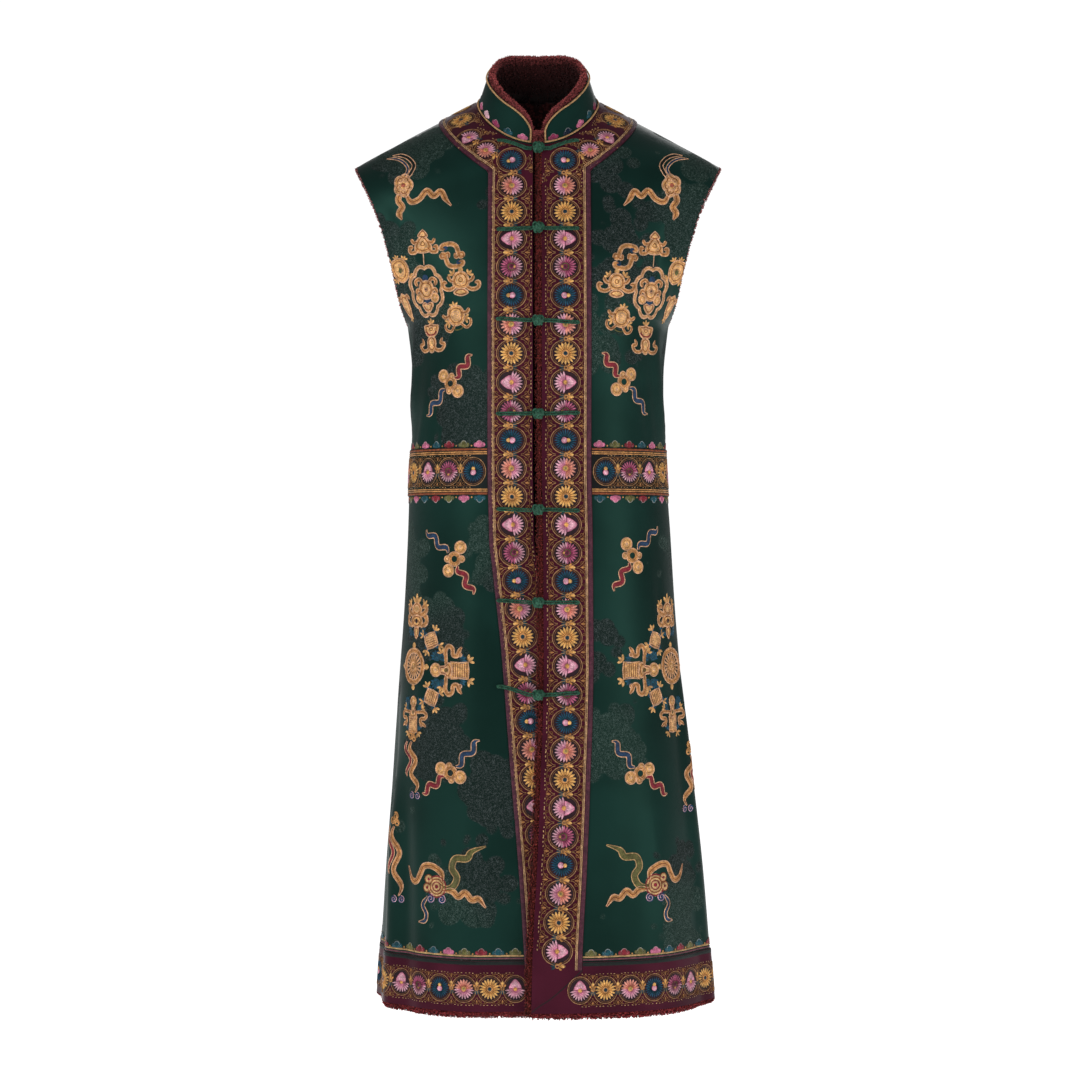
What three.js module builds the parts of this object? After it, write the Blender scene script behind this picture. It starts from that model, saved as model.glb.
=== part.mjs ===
// A long sleeveless coat with a stand collar, lined with shearling and closed down the
// front by seven knotted frogs. It is held in the form it takes when worn: fronts, back,
// collar, sewn-on embroidered bands and the pile that shows past each cut edge are
// separate pieces. Millimetres, +Z up, the wearer faces -Y and the wearer's left is +X.
// The origin is between the two points where the collar meets the shoulder seams.
import * as THREE from "three";

// ---------------------------------------------------------------- driving dimensions
const HEM_Z = -1060;
const HEM_BAND_TOP_Z = -1002;
const WAIST_BAND_BOTTOM_Z = -468;
const WAIST_BAND_TOP_Z = -413;
const UNDERARM_Z = -264;
const SHOULDER_TIP_X = 217.5;
const SHOULDER_TIP_Z = -74;
const ARMHOLE_REACH_FRONT = 76; // how far the armhole runs forward of the shoulder seam
const ARMHOLE_REACH_BACK = 78;

const NECK_HALF_WIDTH = 72.5;
const NECK_FRONT_Y = -73;
const NECK_BACK_Y = 68;
const NECK_FRONT_Z = -58;
const NECK_BACK_Z = 18;

const CLOTH = 2.4; // wall of the velvet and its backing
const BAND = 1.2; // wall of a sewn-on band
const GAP = 0.3; // between pieces at a seam
const FRONT_BAND_WIDTH = 57;
const COVERED_BAND_WIDTH = 52; // the right front's band ends under the left front's pile
const NECK_BAND_WIDTH = 50;
const ROUNDNESS = 2.3; // power of the body's oval sections

const COLLAR_LEAN = 14; // how far its top edge leans in
const COLLAR_FRONT_GAP = 8; // from centre front to each collar end
const COLLAR_CORNER = 36; // length of the rounded front corner
const PILE = 5.8; // thickness of the shearling's pile
const PILE_SHOWS = 9.4; // how far the pile stands past a cloth edge
const PILE_TOP = 0.9; // how far it rises over the cloth beside that edge

const OVERLAP_DEPTH = 11.5; // how far the right front lies behind the left one
const CORD = 2.8; // the frogs' cord
const FROG_REACH = 45;
const KNOT_RADIUS = 7.4;

// ---------------------------------------------------------------- tables
// Half width, and depth in front of and behind the shoulder seam, of the body's sections.
const BODY = [
  { z: -1060, half: 199.5, front: 150, back: 152 },
  { z: -1000, half: 195, front: 147, back: 149 },
  { z: -900, half: 187.5, front: 139, back: 143 },
  { z: -800, half: 178, front: 132, back: 137 },
  { z: -700, half: 170, front: 126, back: 130 },
  { z: -600, half: 162, front: 121, back: 122 },
  { z: -500, half: 156.5, front: 117.5, back: 112 },
  { z: -440, half: 153.5, front: 115.5, back: 106 },
  { z: -380, half: 150.5, front: 115, back: 103 },
  { z: -330, half: 150.5, front: 117.5, back: 106 },
  { z: -270, half: 155.5, front: 120, back: 113 },
  { z: -200, half: 170, front: 114, back: 117 },
  { z: -140, half: 190, front: 100, back: 115 },
  { z: -100, half: 205, front: 87, back: 109 },
  { z: -60, half: 215, front: 73, back: 99 },
  { z: -20, half: 215, front: 60, back: 86 },
  { z: 18, half: 215, front: 50, back: 68 },
];
// The stand collar's height, by angle from centre front.
const COLLAR = [
  { angle: 0, height: 42 },
  { angle: 50, height: 40 },
  { angle: 90, height: 38 },
  { angle: 120, height: 43.5 },
  { angle: 150, height: 47 },
  { angle: 180, height: 47.5 },
];
// The frogs: the knot's height, and how far each arm's outer end is above it.
const FROGS = [
  { name: "1", z: -63, rise_left: 10, rise_right: 10 },
  { name: "2", z: -160, rise_left: 0, rise_right: -1 },
  { name: "3", z: -267, rise_left: -2, rise_right: 2 },
  { name: "4", z: -374, rise_left: 1, rise_right: 0 },
  { name: "5", z: -485, rise_left: -1, rise_right: 1 },
  { name: "6", z: -592, rise_left: 0, rise_right: 2 },
  { name: "7", z: -698, rise_left: 2, rise_right: 9 },
];
// The armhole's edge as seen from the front.
const ARMHOLE = [
  { z: -264, x: 156.2 },
  { z: -250, x: 161 },
  { z: -234, x: 165 },
  { z: -210, x: 169.5 },
  { z: -186, x: 175 },
  { z: -162, x: 181.5 },
  { z: -138, x: 189 },
  { z: -114, x: 199 },
  { z: -92, x: 209.5 },
  { z: -74, x: 217.5 },
];
// Where each front's cloth ends beside the centre line, as x.
const FRONT_EDGE = [
  { z: -1060, left: -15, right: 32 },
  { z: -993, left: -13, right: 29 },
  { z: -900, left: -7, right: 24 },
  { z: -800, left: -1, right: 17.5 },
  { z: -720, left: 3, right: 12.5 },
  { z: -650, left: 4.5, right: 7.5 },
  { z: -590, left: 4.5, right: 1.5 },
  { z: -540, left: 4.5, right: -4 },
  { z: -520, left: 4.5, right: -6 },
  { z: -60, left: 4.5, right: -6 },
];
// How far the right front has passed behind the left one.
const TUCK = [
  { z: -1060, share: 1 },
  { z: -520, share: 1 },
  { z: -430, share: 0 },
  { z: -60, share: 0 },
];
// How far the body's centre stands toward the wearer's left.
const SWAY = [
  { z: -1060, x: 7.5 },
  { z: -950, x: 6.5 },
  { z: -850, x: 5 },
  { z: -760, x: 3.2 },
  { z: -640, x: 2.2 },
  { z: -520, x: 1.5 },
  { z: -430, x: 0 },
  { z: 20, x: 0 },
];
// Soft folds: a ridge or trough from (across, z) to (across2, z2), where across is the
// share of the way from the centre line to the side seam.
const FOLDS = [
  { on: "left", across: 0.66, z: -255, across2: 0.9, z2: -440, width: 0.06, height: 5 },
  { on: "left", across: 0.8, z: -250, across2: 0.98, z2: -400, width: 0.07, height: -6 },
  { on: "left", across: 0.83, z: -600, across2: 0.83, z2: -1060, width: 0.055, height: 8 },
  { on: "left", across: 0.93, z: -640, across2: 0.93, z2: -1060, width: 0.06, height: -9 },
  { on: "left", across: 0.5, z: -760, across2: 0.46, z2: -1060, width: 0.1, height: 3 },
  { on: "right", across: 0.7, z: -250, across2: 0.93, z2: -400, width: 0.06, height: 5 },
  { on: "right", across: 0.82, z: -245, across2: 1, z2: -380, width: 0.07, height: -5 },
  { on: "right", across: 0.8, z: -760, across2: 0.7, z2: -1060, width: 0.06, height: 7 },
  { on: "right", across: 0.7, z: -800, across2: 0.62, z2: -1060, width: 0.06, height: -5 },
  { on: "right", across: 0.92, z: -640, across2: 0.9, z2: -1060, width: 0.06, height: -5 },
  { on: "back", across: -0.8, z: -560, across2: -0.82, z2: -1060, width: 0.07, height: 8 },
  { on: "back", across: -0.6, z: -640, across2: -0.62, z2: -1060, width: 0.08, height: -6 },
  { on: "back", across: -0.35, z: -580, across2: -0.4, z2: -1060, width: 0.08, height: 6 },
  { on: "back", across: 0.12, z: -420, across2: 0.1, z2: -1060, width: 0.12, height: -4 },
  { on: "back", across: 0.42, z: -600, across2: 0.4, z2: -1060, width: 0.08, height: 6 },
  { on: "back", across: 0.66, z: -700, across2: 0.64, z2: -1060, width: 0.07, height: -6 },
  { on: "back", across: 0.84, z: -540, across2: 0.84, z2: -1060, width: 0.06, height: 7 },
  { on: "back", across: -0.72, z: -230, across2: -0.86, z2: -420, width: 0.07, height: -5 },
  { on: "back", across: 0.74, z: -240, across2: 0.88, z2: -430, width: 0.07, height: -5 },
];

// ---------------------------------------------------------------- mathematics
const { sin, cos, abs, min, max, asin, sign, PI } = Math;
const lerp = THREE.MathUtils.lerp;
const radians = THREE.MathUtils.degToRad;
const degrees = THREE.MathUtils.radToDeg;
const vec = (x, y, z) => new THREE.Vector3(x, y, z);
const clamp01 = (q) => min(max(q, 0), 1);
const ease = (q) => clamp01(q) * clamp01(q) * (3 - 2 * clamp01(q));
const power = (v, p) => sign(v) * abs(v) ** p;
const steps = (count) => Array.from({ length: count + 1 }, (_, i) => i / count);

// A smooth curve that never overshoots, through one column of a table.
function through(table, key, column) {
  const rows = [...table].sort((a, b) => a[key] - b[key]);
  const at = rows.map((r) => r[key]);
  const value = rows.map((r) => r[column]);
  const rise = value.slice(1).map((v, i) => (v - value[i]) / (at[i + 1] - at[i]));
  const slope = value.map((_, i) => {
    const before = rise[max(i - 1, 0)];
    const after = rise[min(i, rise.length - 1)];
    return before * after > 0 ? (2 * before * after) / (before + after) : 0;
  });
  return (x) => {
    const q = min(max(x, at[0]), at[at.length - 1]);
    const i = max(0, min(at.length - 2, at.findIndex((v) => v >= q) - 1));
    const step = at[i + 1] - at[i];
    const u = (q - at[i]) / step;
    return (
      value[i] * (1 + 2 * u) * (1 - u) ** 2 +
      slope[i] * step * u * (1 - u) ** 2 +
      value[i + 1] * u * u * (3 - 2 * u) +
      slope[i + 1] * step * u * u * (u - 1)
    );
  };
}

const halfWidth = through(BODY, "z", "half");
const frontDepth = through(BODY, "z", "front");
const backDepth = through(BODY, "z", "back");
const armholeX = through(ARMHOLE, "z", "x");
const frontEdge = {
  left: through(FRONT_EDGE, "z", "left"),
  right: through(FRONT_EDGE, "z", "right"),
};
const tuck = through(TUCK, "z", "share");
const sway = through(SWAY, "z", "x");
const collarHeight = through(COLLAR, "angle", "height");

// ---------------------------------------------------------------- the garment's form
// The neck seam, by angle from centre front round the wearer's left, in degrees.
function neckPoint(angle) {
  const c = cos(radians(angle));
  const mean = (NECK_FRONT_Z + NECK_BACK_Z) / 4;
  return vec(
    NECK_HALF_WIDTH * sin(radians(angle)),
    (c * (NECK_FRONT_Y - NECK_BACK_Y) + c * c * (NECK_FRONT_Y + NECK_BACK_Y)) / 2,
    mean + (c * (NECK_FRONT_Z - NECK_BACK_Z)) / 2 + mean * cos(2 * radians(angle)),
  );
}

// The armhole's edge from the underarm, 0 degrees, to the shoulder tip, 180.
function armholePoint(angle, reach) {
  const z = lerp(UNDERARM_Z, SHOULDER_TIP_Z, (1 - cos(radians(angle))) / 2);
  return vec(armholeX(z), reach * sin(radians(angle)), z);
}

const CHEST_SPREAD = 1.15; // how the rows' starts spread up the chest
const CHEST_CROWDING = 1.35; // how closely rows crowd toward the underarm
const CORNER_ANGLE = { left: 100, right: 100, back: 138 }; // level with the neck's end

// One row of a panel runs from its start beside the centre or neck to its end at the side
// seam or armhole. t goes from 0 at the hem to 1 at the underarm and 2 at the shoulder.
// Panels are worked out on the wearer's left and the right front is mirrored at the end.
function rowEnds(panel, t) {
  const back = panel === "back";
  const depth = back ? backDepth : (z) => -frontDepth(z);
  const edge = back ? () => 0 : (z) => (panel === "left" ? 1 : -1) * frontEdge[panel](z);
  if (t <= 1) {
    const z = lerp(HEM_Z, UNDERARM_Z, t);
    return { start: vec(edge(z), depth(z), z), end: vec(halfWidth(z), 0, z), spread: 90 };
  }
  const angle = (t - 1) * 180;
  const corner = CORNER_ANGLE[panel];
  const end = armholePoint(angle, back ? ARMHOLE_REACH_BACK : -ARMHOLE_REACH_FRONT);
  const spread = lerp(90, 52, ease(angle / 80));
  if (angle <= corner) {
    const top = back ? NECK_BACK_Z : NECK_FRONT_Z;
    const z = lerp(UNDERARM_Z, top, (angle / corner) ** CHEST_SPREAD);
    return { start: vec(edge(z), depth(z), z), end, spread };
  }
  const round = (angle - corner) / (180 - corner);
  const from = back ? 180 : degrees(asin(edge(NECK_FRONT_Z) / NECK_HALF_WIDTH));
  return { start: neckPoint(lerp(from, 90, round)), end, spread, onNeck: true };
}

// The turning angles of an oval row's two ends, and the share its width takes up.
function rowTurn({ start, end, spread }) {
  const full = sin(radians(spread)) ** (2 / ROUNDNESS);
  const first = asin(power((start.x / end.x) * full, ROUNDNESS / 2));
  return { full, first, last: radians(spread) };
}

// The share of the way across a row at a distance from its start.
function acrossAt(panel, t, distance) {
  const ends = rowEnds(panel, t);
  const { full, first, last } = rowTurn(ends);
  const x = min((ends.start.x + distance) / ends.end.x, 1) * full;
  return (asin(power(x, ROUNDNESS / 2)) - first) / (last - first);
}

function smoothPoint(panel, s, t) {
  const ends = rowEnds(panel, t);
  const { start, end } = ends;
  const { full, first, last } = rowTurn(ends);
  const turn = lerp(first, last, s);
  const x = (power(sin(turn), 2 / ROUNDNESS) / full) * end.x;
  const bow = (a) => max(cos(a), 0) ** (2 / ROUNDNESS);
  const flat = ends.onNeck ? bow(first) : 1;
  const y = (bow(turn) - bow(last)) / (flat - bow(last));
  const across = (x - start.x) / (end.x - start.x);
  const point = vec(
    x,
    lerp(end.y, start.y, y),
    lerp(start.z, end.z, lerp(s, across, 0.5)),
  );
  if (t > 1) {
    const full = sin(PI * (t - 1)) * sin(PI * clamp01(s));
    point.y += (panel === "back" ? 9 : -9) * full; // shoulder blades and chest
    point.z += 3 * full;
  }
  if (panel === "right") {
    const cover = PILE_SHOWS + 4 - frontEdge.left(point.z);
    point.y += OVERLAP_DEPTH * tuck(point.z) * (1 - ease((point.x - cover) / 75));
  }
  return point;
}

function foldHeight(panel, across, z) {
  let height = 0;
  for (const f of FOLDS) {
    if (f.on !== panel) continue;
    const along = (z - f.z) / (f.z2 - f.z);
    if (along <= 0 || along > 1.001) continue;
    const away = (across - lerp(f.across, f.across2, along)) / f.width;
    if (abs(away) >= 2) continue;
    const open = ease(along * 2.5) * (f.z2 <= HEM_Z ? 1 : ease((1 - along) * 3));
    height += f.height * open * (0.5 + 0.5 * cos((PI * away) / 2));
  }
  return height;
}

// A point of a panel with its folds and the normal there. side is 1 on the wearer's left.
function panelPoint(panel, side, s, t) {
  const e = 0.003;
  const point = smoothPoint(panel, s, t);
  const u = smoothPoint(panel, min(s + e, 1), t).sub(smoothPoint(panel, max(s - e, 0), t));
  const v = smoothPoint(panel, s, min(t + e, 2)).sub(smoothPoint(panel, s, max(t - e, 0)));
  const normal = u.cross(v).normalize();
  if (panel === "back") {
    normal.negate();
    if (s === 0 && t <= 1 + CORNER_ANGLE.back / 180 + 1e-9) normal.setX(0).normalize();
  }
  const settled = ease((1 - s) * 12); // folds close at the side seams
  const height = foldHeight(panel, panel === "back" ? side * s : s, point.z) * settled;
  point.addScaledVector(normal, height);
  point.x = point.x * side + sway(point.z);
  normal.x *= side;
  return { point, normal };
}

// The place on a front panel at an x and a height.
function locate(panel, x, z) {
  const side = panel === "left" ? 1 : -1;
  const e = 0.002;
  let s = 0.1;
  let t = z < UNDERARM_Z ? (z - HEM_Z) / (UNDERARM_Z - HEM_Z) : 1.3;
  const at = (a, b) => panelPoint(panel, side, a, b).point;
  for (let i = 0; i < 20; i++) {
    const here = at(s, t);
    const ds = at(s + e, t).sub(here).divideScalar(e);
    const dt = at(s, t + e).sub(here).divideScalar(e);
    const dx = x - here.x;
    const dz = z - here.z;
    const det = ds.x * dt.z - ds.z * dt.x;
    s = min(max(s + (dx * dt.z - dz * dt.x) / det, 0), 0.98);
    t = min(max(t + (ds.x * dz - ds.z * dx) / det, 0), 1.97);
  }
  return panelPoint(panel, side, s, t);
}

// ---------------------------------------------------------------- solids
function meshFrom(name, positions, indices, material) {
  const centre = positions.reduce((sum, p) => sum.add(p), vec(0, 0, 0));
  centre.divideScalar(positions.length);
  let volume = 0;
  for (let i = 0; i < indices.length; i += 3) {
    const [a, b, c] = [0, 1, 2].map((k) => positions[indices[i + k]].clone().sub(centre));
    volume += a.dot(b.cross(c));
  }
  if (volume < 0) indices.reverse();
  const geometry = new THREE.BufferGeometry();
  geometry.setFromPoints(positions);
  geometry.setIndex(indices);
  geometry.computeVertexNormals();
  const mesh = new THREE.Mesh(geometry, material);
  mesh.name = name;
  return mesh;
}

// The faces of a wall between two grids of points, closed round its border. The last
// column stays open for the first `joined` rows, where the wall meets its mirror image.
function wallFaces(outer, inner, joined = 0) {
  const rows = outer.length;
  const columns = outer[0].length;
  const positions = [...outer.flat(), ...inner.flat()];
  const indices = [];
  const id = (i, j, layer) => layer * rows * columns + i * columns + j;
  const quad = (a, b, c, d) => indices.push(a, b, c, a, c, d);
  for (let i = 0; i + 1 < rows; i++)
    for (let j = 0; j + 1 < columns; j++) {
      quad(id(i, j, 0), id(i, j + 1, 0), id(i + 1, j + 1, 0), id(i + 1, j, 0));
      quad(id(i, j, 1), id(i + 1, j, 1), id(i + 1, j + 1, 1), id(i, j + 1, 1));
    }
  const [r, c] = [rows - 1, columns - 1];
  for (let j = 0; j < c; j++) {
    quad(id(0, j, 0), id(0, j, 1), id(0, j + 1, 1), id(0, j + 1, 0));
    quad(id(r, j, 0), id(r, j + 1, 0), id(r, j + 1, 1), id(r, j, 1));
  }
  for (let i = 0; i < r; i++) {
    quad(id(i, 0, 0), id(i + 1, 0, 0), id(i + 1, 0, 1), id(i, 0, 1));
    if (i >= joined) quad(id(i, c, 0), id(i, c, 1), id(i + 1, c, 1), id(i + 1, c, 0));
  }
  return { positions, indices };
}

function wall(name, outer, inner, material) {
  const { positions, indices } = wallFaces(outer, inner);
  return meshFrom(name, positions, indices, material);
}

// A solid through rings of points. The ends are closed by a fan from each ring's middle.
function sweep(name, rings, material, closed = false) {
  const count = rings[0].length;
  const positions = rings.flat();
  const indices = [];
  const spans = closed ? rings.length : rings.length - 1;
  for (let i = 0; i < spans; i++) {
    const next = (i + 1) % rings.length;
    for (let k = 0; k < count; k++) {
      const [a, b] = [i * count + k, i * count + ((k + 1) % count)];
      const [c, d] = [next * count + ((k + 1) % count), next * count + k];
      indices.push(a, b, c, a, c, d);
    }
  }
  if (!closed)
    for (const [ring, flip] of [
      [0, true],
      [rings.length - 1, false],
    ]) {
      const middle = vec(0, 0, 0);
      rings[ring].forEach((p) => middle.addScaledVector(p, 1 / count));
      const hub = positions.push(middle) - 1;
      for (let k = 0; k < count; k++) {
        const [a, b] = [ring * count + k, ring * count + ((k + 1) % count)];
        indices.push(...(flip ? [hub, b, a] : [hub, a, b]));
      }
    }
  return meshFrom(name, positions, indices, material);
}

const ring = ({ point, out, normal }, profile) =>
  profile.map(([a, b]) => point.clone().addScaledVector(out, a).addScaledVector(normal, b));

// ---------------------------------------------------------------- the panels' grids
const rowAtZ = (z) => (z - HEM_Z) / (UNDERARM_Z - HEM_Z);
const ROWS = {
  skirt: 7, // between the hem band and the waist band
  bodice: 3, // between the waist band and the underarm
  chest: 5, // from the underarm to the neck's end
  shoulder: 5, // from the neck's end to the shoulder seam
};
const COLUMNS = { frontBand: 3, backBand: 2, body: 10 };
const BACK_BAND_DROPS = [49, 42, 27]; // rows below the back neck, inside its band

// t of the back's row that starts a drop below the neck.
function timeBelowNeck(drop) {
  const share = (NECK_BACK_Z - drop - UNDERARM_Z) / (NECK_BACK_Z - UNDERARM_Z);
  return 1 + (share ** (1 / CHEST_SPREAD) * CORNER_ANGLE.back) / 180;
}

// t of every row, with rows on the edges of each sewn-on band.
function rowTimes(panel) {
  const corner = 1 + CORNER_ANGLE[panel] / 180;
  const stretch = (a, b, count) => steps(count).slice(1).map((q) => lerp(a, b, q));
  const waist = [rowAtZ(WAIST_BAND_BOTTOM_Z), rowAtZ(WAIST_BAND_TOP_Z)];
  const drops = panel === "back" ? BACK_BAND_DROPS.map(timeBelowNeck) : [];
  const chestTop = drops.length ? drops[0] : corner;
  return [
    0,
    rowAtZ(HEM_BAND_TOP_Z),
    ...stretch(rowAtZ(HEM_BAND_TOP_Z), waist[0], ROWS.skirt),
    waist[1],
    ...stretch(waist[1], 1, ROWS.bodice),
    ...steps(ROWS.chest).slice(1).map((q) => lerp(1, chestTop, q ** CHEST_CROWDING)),
    ...(drops.length ? [...drops.slice(1), corner] : []),
    ...stretch(corner, 2, ROWS.shoulder),
  ];
}
const rowOf = (panel, t) => rowTimes(panel).findIndex((q) => abs(q - t) < 1e-9);

const NECK_SEAM = steps(180).map((q) => neckPoint(360 * q));
const fromNeck = (point) => min(...NECK_SEAM.map((p) => p.distanceTo(point)));

// s of the outer edge of the band that runs up a front and round the neck.
function bandShare(panel, t) {
  const width = { left: FRONT_BAND_WIDTH, right: COVERED_BAND_WIDTH, back: 22 }[panel];
  let [near, far] = [0, 0.9];
  for (let i = 0; i < 24; i++) {
    const middle = (near + far) / 2;
    if (fromNeck(smoothPoint(panel, middle, t)) < NECK_BAND_WIDTH) near = middle;
    else far = middle;
  }
  const nearNeck = near > 1e-5;
  const upright = rowEnds(panel, t).onNeck || (panel === "back" && nearNeck) ? 0 : width;
  return max(acrossAt(panel, t, upright), nearNeck ? near : 0);
}

// s of every column at a row: the band's columns first, then the body's.
function columnShares(panel, t) {
  const count = panel === "back" ? COLUMNS.backBand : COLUMNS.frontBand;
  const band = bandShare(panel, t);
  return [
    ...steps(count).map((q) => q * band),
    ...steps(COLUMNS.body).slice(1).map((q) => lerp(band, 1, q)),
  ];
}

// The last column stops half a gap short of the side seam's plane and the last row half a
// gap short of the shoulder seam's, and both are cut square to that plane.
function openSeams(grid, back) {
  const half = (back ? 1 : -1) * (GAP / 2);
  const fall = -SHOULDER_TIP_Z / (SHOULDER_TIP_X - NECK_HALF_WIDTH);
  for (const row of grid) {
    const { point, normal } = back ? row[0] : row.at(-1);
    if (point.z > UNDERARM_Z + 0.5) continue;
    point.y = half;
    const widening = halfWidth(point.z - 8) - halfWidth(point.z + 8);
    normal.set(sign(point.x) * 16, 0, widening).normalize();
  }
  for (const { point, normal } of grid.at(-1)) {
    point.y = half;
    normal.set(sign(point.x) * fall, 0, 1).normalize();
  }
}

function frontGrid(panel) {
  const side = panel === "left" ? 1 : -1;
  const grid = rowTimes(panel).map((t) =>
    columnShares(panel, t).map((s) => panelPoint(panel, side, s, t)),
  );
  openSeams(grid, false);
  return grid;
}

// Each half of the back, from its side seam to the centre line and the neck.
function backHalf(side) {
  const grid = rowTimes("back").map((t) =>
    columnShares("back", t)
      .map((s) => panelPoint("back", side, s, t))
      .reverse(),
  );
  openSeams(grid, true);
  return grid;
}

const layer = (grid, distance) =>
  grid.map((row) => row.map(({ point, normal }) => point.clone().addScaledVector(normal, distance)));

// Part of a grid, with its border moved in where it meets another piece.
function patch(grid, rows, columns, inset) {
  const part = grid
    .slice(rows[0], rows[1] + 1)
    .map((row) => row.slice(columns[0], columns[1] + 1).map((p) => ({ ...p, point: p.point.clone() })));
  const moved = (p, toward, distance) => {
    const step = toward.point.clone().sub(p.point);
    return step.setLength(min(distance, step.length() / 3));
  };
  const shift = part.map((row) => row.map(() => vec(0, 0, 0)));
  const [r, c] = [part.length - 1, part[0].length - 1];
  for (let i = 0; i <= r; i++)
    for (let j = 0; j <= c; j++) {
      const p = part[i][j];
      if (j === 0 && inset.start) shift[i][j].add(moved(p, part[i][1], inset.start));
      if (j === c && inset.end) shift[i][j].add(moved(p, part[i][c - 1], inset.end));
      if (i === 0 && inset.bottom) shift[i][j].add(moved(p, part[1][j], inset.bottom));
      if (i === r && inset.top) shift[i][j].add(moved(p, part[r - 1][j], inset.top));
    }
  part.forEach((row, i) => row.forEach((p, j) => p.point.add(shift[i][j])));
  return part;
}

// ---------------------------------------------------------------- colours
const paint = (color, roughness) => new THREE.MeshStandardMaterial({ color, roughness });
const VELVET = paint(0x1d3a34, 0.55);
const SATIN = paint(0x4a1d28, 0.45);
const GREEN_BAND = paint(0x24402f, 0.5);
const SHEARLING = paint(0x5a1f20, 0.95);
const GOLD = paint(0xb08a4a, 0.4);
const CORDING = paint(0x2f4f3b, 0.5);

const coat = new THREE.Group();
const add = (mesh) => coat.add(mesh);

// ---------------------------------------------------------------- fronts
const PILE_RIM = [
  [GAP, -CLOTH - GAP - PILE],
  [GAP, -0.2],
  [2.6, PILE_TOP],
  [6, 0.6],
  [8.6, -1.6],
  [PILE_SHOWS, -4.6],
  [8.2, -7.4],
  [5, -8.6],
];

const perpendicular = (v, normal) => v.clone().addScaledVector(normal, -v.dot(normal)).normalize();
const lining = (name, grid) =>
  wall(name, layer(grid, -CLOTH - GAP), layer(grid, -CLOTH - GAP - PILE), SHEARLING);
const sewnOn = (name, part, material) =>
  wall(name, layer(part, GAP + BAND), layer(part, GAP), material);

const HALF_GAP = GAP / 2 + 0.05;
const waistRows = (panel) => [
  rowOf(panel, rowAtZ(WAIST_BAND_BOTTOM_Z)),
  rowOf(panel, rowAtZ(WAIST_BAND_TOP_Z)),
];

const hemLine = (grid) =>
  grid[0].map(({ point, normal }, j) => ({
    point,
    normal,
    out: perpendicular(point.clone().sub(grid[1][j].point), normal),
  }));

// The hem's pile shows less toward the side seams.
const HEM_TAPER = { from: 110, least: 0.2 };
const hemPileRing = (p) => {
  const shown = lerp(HEM_TAPER.least, 1, ease(abs(p.point.y) / HEM_TAPER.from));
  return ring(p, PILE_RIM.map(([out, up]) => [out > GAP ? out * shown + GAP : out, up]));
};

const grids = { left: frontGrid("left"), right: frontGrid("right") };
for (const panel of ["left", "right"]) {
  const grid = grids[panel];
  const last = COLUMNS.frontBand + COLUMNS.body;
  add(wall(`front_${panel}`, layer(grid, 0), layer(grid, -CLOTH), VELVET));
  add(lining(`shearling_${panel}`, grid));
  add(
    sewnOn(
      `front_band_${panel}`,
      patch(grid, [0, grid.length - 1], [0, COLUMNS.frontBand], { end: HALF_GAP }),
      SATIN,
    ),
  );
  for (const [name, rows, material] of [
    ["waist_band", waistRows(panel), GREEN_BAND],
    ["hem_band", [0, 1], SATIN],
  ])
    add(
      sewnOn(
        `${name}_${panel}`,
        patch(grid, rows, [COLUMNS.frontBand, last], { start: HALF_GAP }),
        material,
      ),
    );
  add(sweep(`hem_pile_${panel}`, hemLine(grid).map(hemPileRing), SHEARLING));
}

// The left front's pile fills the opening between the two fronts.
const opening = grids.left.slice(0, -ROWS.shoulder).map((row) => ({
  point: row[0].point,
  normal: row[0].normal,
  out: perpendicular(row[0].point.clone().sub(row[1].point), row[0].normal),
}));
const topEnd = opening.at(-1);
topEnd.point = topEnd.point.clone().lerp(opening.at(-2).point, 0.08);
const corner = {
  ...opening[0],
  point: opening[0].point.clone().addScaledVector(hemLine(grids.left)[0].out, PILE_SHOWS - 1),
};
add(sweep("front_pile", [corner, ...opening].map((p) => ring(p, PILE_RIM)), SHEARLING));

// ---------------------------------------------------------------- back
const halves = { left: backHalf(1), right: backHalf(-1) };
const backJoined = rowOf("back", 1 + CORNER_ANGLE.back / 180);
const both = (rows, columns, distance) =>
  ["left", "right"].map((half) =>
    layer(halves[half], distance)
      .slice(rows[0], rows[1] + 1)
      .map((row) => row.slice(columns[0], columns[1] + 1)),
  );

// One wall over both halves of the back, in the same rows and columns of each.
function acrossBack(name, rows, columns, outside, inside, material) {
  const [outerLeft, outerRight] = both(rows, columns, outside);
  const [innerLeft, innerRight] = both(rows, columns, inside);
  const reaches = columns[1] === COLUMNS.backBand + COLUMNS.body;
  const joined = reaches ? max(0, min(backJoined, rows[1]) - rows[0]) : 0;
  const left = wallFaces(outerLeft, innerLeft, joined);
  const right = wallFaces(outerRight, innerRight, joined);
  const flipped = right.indices.reverse().map((i) => i + left.positions.length);
  return meshFrom(
    name,
    [...left.positions, ...right.positions],
    [...left.indices, ...flipped],
    material,
  );
}

const backRows = halves.left.length - 1;
const backColumns = COLUMNS.backBand + COLUMNS.body;
const allOfBack = [
  [0, backRows],
  [0, backColumns],
];
add(acrossBack("back", ...allOfBack, 0, -CLOTH, VELVET));
add(acrossBack("shearling_back", ...allOfBack, -CLOTH - GAP, -CLOTH - GAP - PILE, SHEARLING));
for (const [name, rows, columns, material] of [
  ["waist_band_back", waistRows("back"), [0, backColumns], GREEN_BAND],
  ["hem_band_back", [0, 1], [0, backColumns], SATIN],
  [
    "neck_band_back",
    [rowOf("back", timeBelowNeck(BACK_BAND_DROPS[0])), backRows],
    [COLUMNS.body, backColumns],
    SATIN,
  ],
])
  add(acrossBack(name, rows, columns, GAP + BAND, GAP, material));

const backHem = [
  ...hemLine(halves.left),
  ...hemLine(halves.right).reverse().slice(1),
];
add(sweep("hem_pile_back", backHem.map(hemPileRing), SHEARLING));

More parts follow.
